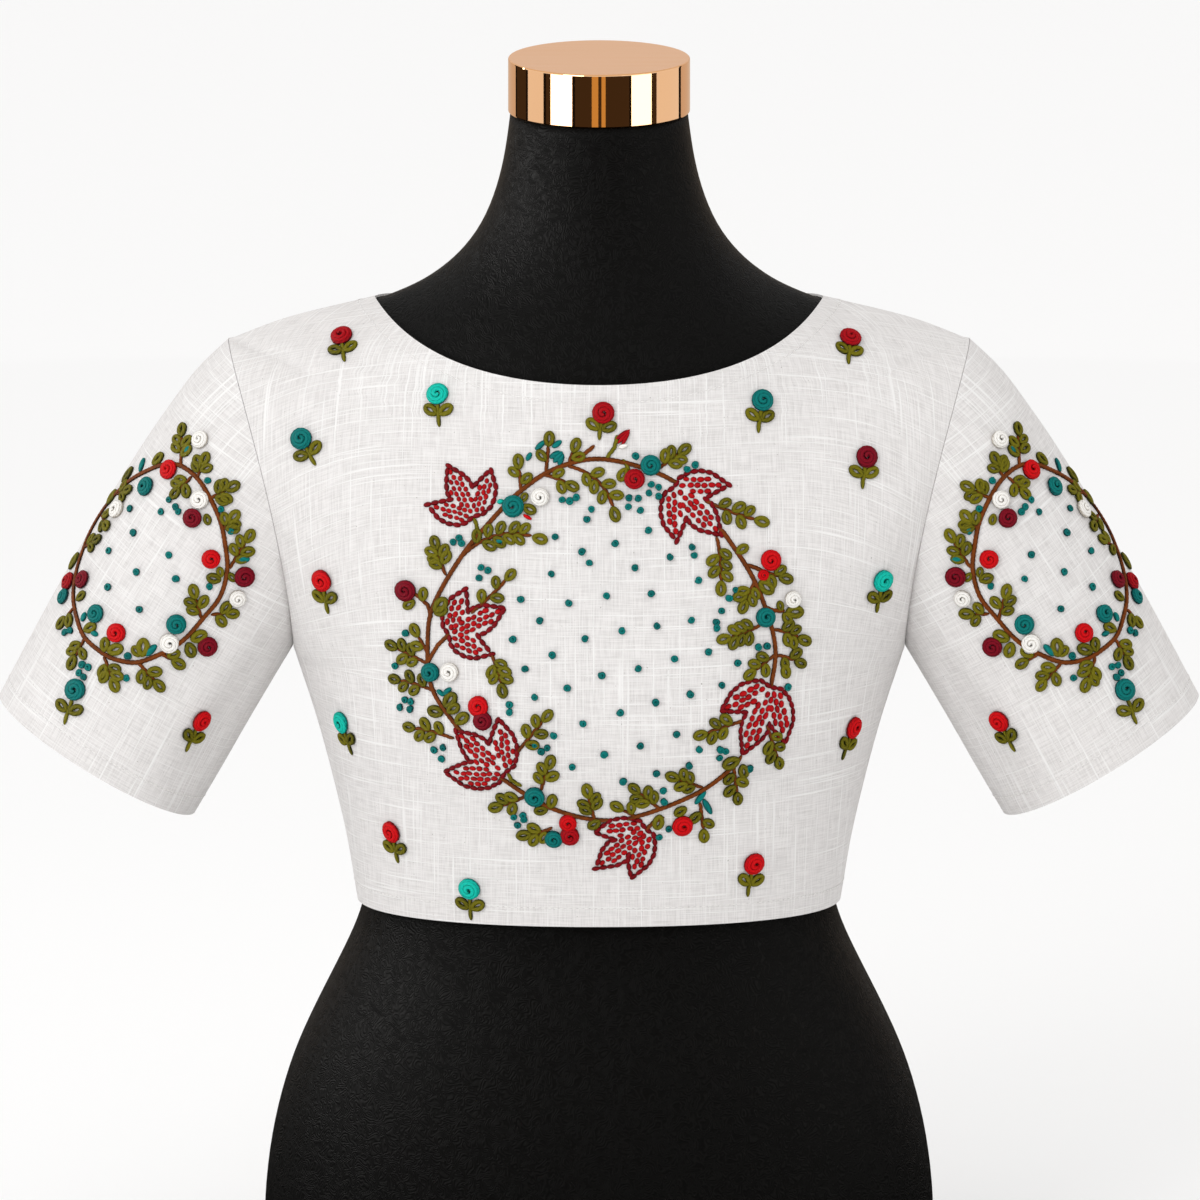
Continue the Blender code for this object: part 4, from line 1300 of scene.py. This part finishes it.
KNOTS = [
    (-45.1, 23.1), (-28.6, 36.9), (-7.7, 42.9), (-11.6, 49), (-26.4, 57.2), (-8.8, 67.1), (6.6, 53.9),
    (-18.7, 20.9), (1.7, 24.8), (-34.7, 11), (-49.5, 1.1), (-9.9, 1.1), (-22.6, 77.6), (-18.2, 77),
    (-14.9, 79.2), (-6.6, 72.6), (24.8, 61.1), (17.6, 40.2), (36.9, 46.2), (52.3, 33.6), (26.4, 25.9),
    (48.4, 11.6), (29.7, 8.2), (10.5, 5.5), (64.9, 16.5), (26.4, 86.4), (30.3, 84.7), (25.3, 81.4),
    (30.3, 79.8), (14.3, 78.7), (19.2, 78.7), (13.8, 73.7), (20.4, 72.1), (49, 51.7), (50.1, 47.3),
    (72.6, 28.1), (69.3, 23.7), (62.2, 10.5), (62.2, 7.2), (-28.1, -7.7), (-42.9, -15.4), (-37.4, -30.8),
    (-19.8, -25.9), (-0.6, -18.7), (-11, -45.1), (9.4, -39.1), (0.6, -62.2), (-17.1, -68.8), (-51.2, -34.7),
    (-51.2, -39.1), (-27, -51.7), (-37.4, -57.2), (-34.1, -60.5), (-30.8, -58.3), (-108.4, -31.9),
    (-105.1, -33), (-111.1, -36.3), (-105.6, -37.4), (-92.4, -59.4), (-87.5, -58.3), (-88.6, -64.4),
    (-49, -96.3), (-44, -95.2), (-43.5, -97.9), (-46.8, -100.7), (19.2, -14.9), (39.1, -9.9), (57.8, -6.1),
    (28.6, -33.6), (47.9, -29.2), (64.9, -24.2), (20.4, -57.2), (40.2, -51.2), (11, -77), (29.2, -72.6),
    (47.3, -68.2), (52.8, -59.4), (64.4, -59.4), (67.1, -60.5), (63.8, -63.8), (33, -82), (33.6, -88),
    (73.7, -12.1), (85.2, -3.3), (89.7, -2.8), (101.2, -25.3), (80.3, -69.9), (35.8, -102.9),
    (30.8, -107.3), (-82.5, 54.5), (-79.2, 56.7), (-77.6, 53.9), (-67.1, 40.7), (-63.3, 39.1),
    (-68.2, 34.7), (-108.4, 4.4), (-113.9, -13.2), (17.6, 101.8), (46.2, 94.6), (50.6, 96.8),
]


def closed_curve(points, steps):
    """A smooth closed curve through points of the picture."""
    around = np.array(points, float)
    count = len(around)
    curve = []
    for place in np.arange(steps) / steps * count:
        i, t = int(place), place - int(place)
        a, b, c, d = (around[(i + k) % count] for k in (-1, 0, 1, 2))
        bend = (2 * a - 5 * b + 4 * c - d) * t**2 + (3 * b - 3 * c + d - a) * t**3
        curve.append(0.5 * (2 * b + (c - a) * t + bend))
    return curve + curve[:1]


def add_vine(points, middle, keep_off=None):
    """A closed line of slanted stitches, which passes under what it has to keep off."""
    spots = [on_cloth(*point) for point in shifted(closed_curve(points, 240), middle)]
    for place, heading in evenly([spot.place for spot in spots], VINE_PITCH):
        near = min(spots, key=lambda spot: (spot.place - place).length_squared)
        spot = pressed(place, near.normal)
        if keep_off is None or not keep_off(spot.place):
            straight_stitch("stem", spot, turned_by(heading, spot, 15), VINE_STITCH)


def mirrored(point, side):
    """A point of the picture, on the other side where the side is -1."""
    return (point[0] * side, point[1])


def add_motifs(side, middle, sprigs, leaves, tulips, roses, buds, knots):
    """What a ring carries, mirrored where the side is -1."""
    for base, tip, side_leaves, bow in sprigs:
        twig(mirrored(base, side), mirrored(tip, side), side_leaves, bow * side, middle)
    for base, tip in leaves:
        leaf_at(mirrored(base, side), mirrored(tip, side), middle)
    for tulip in tulips:
        tulip.sew()
    for place, dye, radius in roses:
        add_rose(mirrored(place, side), dye, radius, middle)
    for base, tip, dye, width in buds:
        add_bud(mirrored(base, side), mirrored(tip, side), dye, width, middle)
    for place in knots:
        add_knot(mirrored(place, side), middle)


tulips = [Tulip(*places, WREATH) for places in TULIPS]


def under_a_tulip(place):
    """Whether a place on the cloth lies within a tulip or just outside it."""
    flats = [(tulip, tulip.flat(place)) for tulip in tulips]
    return any(tulip.inside(flat, -0.5) for tulip, flat in flats if abs(flat).max() < 36)


ring = [(r * math.sin(math.radians(a)), r * math.cos(math.radians(a))) for a, r in VINE]
add_vine(ring, WREATH, under_a_tulip)
for dye, points in STALKS:
    spots = [on_cloth(*point) for point in shifted(points, WREATH)]
    places = [spot.place for spot in spots]
    stitched_line(dye, places, spots[0].normal, TWIG_PITCH, STALK_STITCH, slant=8)
add_motifs(1, WREATH, SPRIGS, LEAVES, tulips, ROSES, BUDS, KNOTS)

# Scattered flowers over the rest of the front, one in each gap, in the same threads.
# Places are in mm from the middle of the picture.
SCATTERED = [
    ((1.7, 102.9), (-0.6, 89.1), "crimson"), ((-141.9, 144.7), (-140.8, 132), "crimson"),
    ((-89.1, 112.8), (-88.6, 96.8), "turquoise"), ((-163.9, 88.6), (-157.3, 75.4), "teal"),
    ((89.1, 109.5), (86.9, 93.5), "teal"), ((137.5, 143.6), (136.4, 130.9), "crimson"),
    ((146.3, 78.7), (144.1, 62.7), "maroon"), ((-152.4, 11), (-149.6, -6.1), "red"),
    ((155.1, 11), (151.8, -5.5), "turquoise"), ((-141.4, -67.1), (-136.4, -83.6), "turquoise"),
    ((138.6, -69.9), (133.1, -86.4), "red"), ((-113.9, -127.1), (-111.1, -143), "red"),
    ((84.2, -144.7), (80.9, -161.7), "red"), ((-71.5, -158.4), (-71, -174.4), "turquoise"),
]
for place, foot, dye in SCATTERED:
    add_scattered(place, foot, dye, (0.0, 0.0))

# Sleeve wreaths. Each sleeve has a smaller ring, turned a little to the outer side, with roses, knots and
# leafy twigs. The right and left sleeves mirror each other. Places are in mm from the ring's middle.
SLEEVE_WREATH = (-247.5, 19.8)
SLEEVE_VINE = [
    (17.1, 53.9), (25.9, 47.3), (32.5, 37.4), (38.5, 24.2), (41.2, 11.6), (42.4, -2.8), (38.5, -17.6),
    (29.2, -29.7), (18.2, -41.8), (6.6, -49), (-6.6, -53.9), (-17.6, -52.8), (-25.9, -49), (-35.8, -40.2),
    (-40.2, -28.6), (-41.8, -17.6), (-40.2, -5), (-36.9, 6.1), (-32.5, 17.1), (-25.9, 28.6), (-18.2, 38.5),
    (-9.9, 46.2), (0, 51.7), (8.2, 54.5),
]
SLEEVE_SPRIGS = [
    ((17.1, 54.5), (18.2, 77), 4, 0), ((26.4, 48.4), (31.9, 61.1), 3, 0), ((33.6, 36.3), (48.4, 44), 4, 0),
    ((40.2, 19.2), (47.9, 28.1), 3, 0), ((44, -1.7), (56.7, 18.7), 4, 0),
    ((28.1, -29.7), (23.1, -11.6), 3, 0), ((34.1, -27.5), (49, -27), 2, 0),
    ((6.6, -49.5), (18.2, -56.1), 1, 0), ((-6.1, -54.5), (7.2, -69.3), 3, 0),
    ((-24.8, -51.7), (-18.2, -69.9), 4, 0), ((-35.8, -41.2), (-44, -57.2), 3, 0),
    ((-42.4, -25.3), (-50.1, -34.7), 1, 0), ((-35.2, 9.4), (-26.4, 14.3), 2, 0),
    ((-25.9, 26.4), (-22.6, 18.7), 2, 0), ((-17.1, 38.5), (-9.4, 41.2), 2, 0),
    ((22.6, 47.3), (11.6, 36.3), 3, 0),
]
SLEEVE_LEAVES = [
    ((39.6, -8.8), (30.3, -6.6)), ((39.1, -7.7), (38, -1.1)), ((20.4, -42.4), (23.7, -51.7)),
    ((21.5, -41.8), (31.9, -37.4)), ((-4.4, -51.7), (-2.8, -35.8)), ((-5, -51.2), (-9.9, -44.6)),
    ((-24.8, -49), (-24.2, -39.6)), ((-23.7, -48.4), (-13.8, -45.7)), ((-40.2, -20.4), (-34.7, -15.4)),
    ((-36.3, -36.9), (-28.6, -33.6)), ((-14.9, 44), (-4.4, 59.4)), ((-23.1, 31.9), (-17.6, 41.2)),
    ((-44, -3.9), (-36.3, 10.5)), ((1.7, 53.9), (8.2, 61.1)), ((30.8, 28.1), (32.5, 20.9)),
    ((42.9, -4.4), (45.7, -8.2)),
]
SLEEVE_ROSES = [
    ((28.1, 68.2), "white", 4.7), ((11, 51.7), "red", 5.2), ((-1.7, 42.4), "teal", 5),
    ((27.5, 35.2), "white", 4.8), ((23.7, 25.3), "maroon", 5), ((-17.6, 29.7), "white", 4.8),
    ((33.6, 2.8), "red", 4.9), ((51.7, -6.6), "maroon", 5.4), ((47.9, -18.7), "white", 4.5),
    ((-44, -9.9), "crimson", 4.8), ((-36.3, -8.8), "maroon", 4.8), ((-46.8, -18.2), "teal", 4.2),
    ((-29.2, -27.5), "teal", 4.8), ((-18.2, -38), "red", 5), ((14.3, -33), "teal", 5.2),
    ((10.5, -43.5), "white", 5), ((31.4, -45.1), "maroon", 5.2),
]
SLEEVE_BUDS = [
    ((19.8, 61.1), (22.6, 64.9), "teal", 3.2), ((48.4, 2.8), (54.5, 2.8), "teal", 4),
    ((-5, 50.6), (-2.8, 57.8), "teal", 3.4), ((-2.2, -50.1), (3.3, -44.6), "teal", 3.8),
    ((-36.9, -31.4), (-35.2, -27), "teal", 3.2), ((-31.9, -37.4), (-28.6, -39.1), "teal", 3),
]
SLEEVE_KNOTS = [
    (-10.5, 30.3), (6.6, 28.6), (-8.8, 17.1), (-22, 7.2), (10.5, 5), (-7.2, -4.4), (14.3, -8.2),
    (-22.6, -12.7), (-5.5, -24.8), (11, 35.2), (14.3, 31.4), (16, 28.6), (31.9, 45.7), (39.1, 30.3),
    (44.6, 18.2), (32.5, -12.1), (-36.9, -55.6), (-33.6, -56.7), (-38.5, -60), (-36.3, -62.2),
    (-12.7, -62.7), (-43.5, -36.9), (-46.2, -38), (-12.1, -50.6),
]
SLEEVE_SCATTERED = [
    ((-40.7, -69.3), (-46.8, -86.9), "teal"), ((27.5, -85.8), (19.8, -101.8), "red"),
]


for side in (1, -1):
    middle = mirrored(SLEEVE_WREATH, side)
    add_vine([mirrored(point, side) for point in SLEEVE_VINE], middle)
    add_motifs(
        side, middle, SLEEVE_SPRIGS, SLEEVE_LEAVES, [], SLEEVE_ROSES, SLEEVE_BUDS, SLEEVE_KNOTS
    )
    for place, foot, dye in SLEEVE_SCATTERED:
        add_scattered(mirrored(place, side), mirrored(foot, side), dye, middle)

# Topstitching. A row of short white stitches holds the turned edge at the neckline, the hem, both cuffs
# and both sides of the lapped strip.
NECK_TURN = 0.0100
TOPSTITCH_PITCH = 0.0034
TOPSTITCH = (0.0026, 0.0007, 0.0004)
ARM_FROM = 0.21
ARM_MIDDLE = 0.27


def machine_sewn(points):
    """A row of machine stitches along points of the cloth, on the side that faces away from the form."""
    for place, heading in evenly(points, TOPSTITCH_PITCH):
        within = math.copysign(ARM_MIDDLE, place.x) if abs(place.x) > ARM_FROM else 0.0
        spot = pressed(place, place - Vector((within, 0.0, place.z)))
        straight_stitch("sewing", spot, heading, TOPSTITCH, 0.5)


def sewn_row(grid, distance, from_end=False):
    """A row of machine stitches at a distance from a panel's first or last row."""
    along = lengths_along(grid, 0)
    wanted = along[-1] - distance if from_end else np.full(len(along[0]), distance)
    machine_sewn([
        points_at(grid[:, column], along[:, column], wanted[column]) for column in range(grid.shape[1])
    ])


for panel in ("front", "back"):
    sewn_row(shells[panel], HEM_TURN)
    sewn_row(shells[panel], NECK_TURN, from_end=True)
for panel in ("sleeve_left", "sleeve_right"):
    sewn_row(shells[panel], HEM_TURN, from_end=True)
for edge, inside in ((0, 1), (-1, -2)):
    machine_sewn(lap_face[:, edge] * 0.6 + lap_face[:, inside] * 0.4)

# Pieces of thread. All stitches of one dye become a piece, and the grain of each cloth's flat cut is worked
# out but not kept.
for dye, (light, dark) in DYES_LIT_AND_SHADED.items():
    made = shown(f"{dye}_stitches", strands[dye], dyed_with_painted_shade(f"{dye}_cotton", light, dark))
    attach(made, "root")
laid_sheet(front_grid)
for cloth, grid in backs:
    laid_sheet(grid)
laid_sheet(strip)
for cloth in sleeves:
    laid_sheet(closed, upright=False)
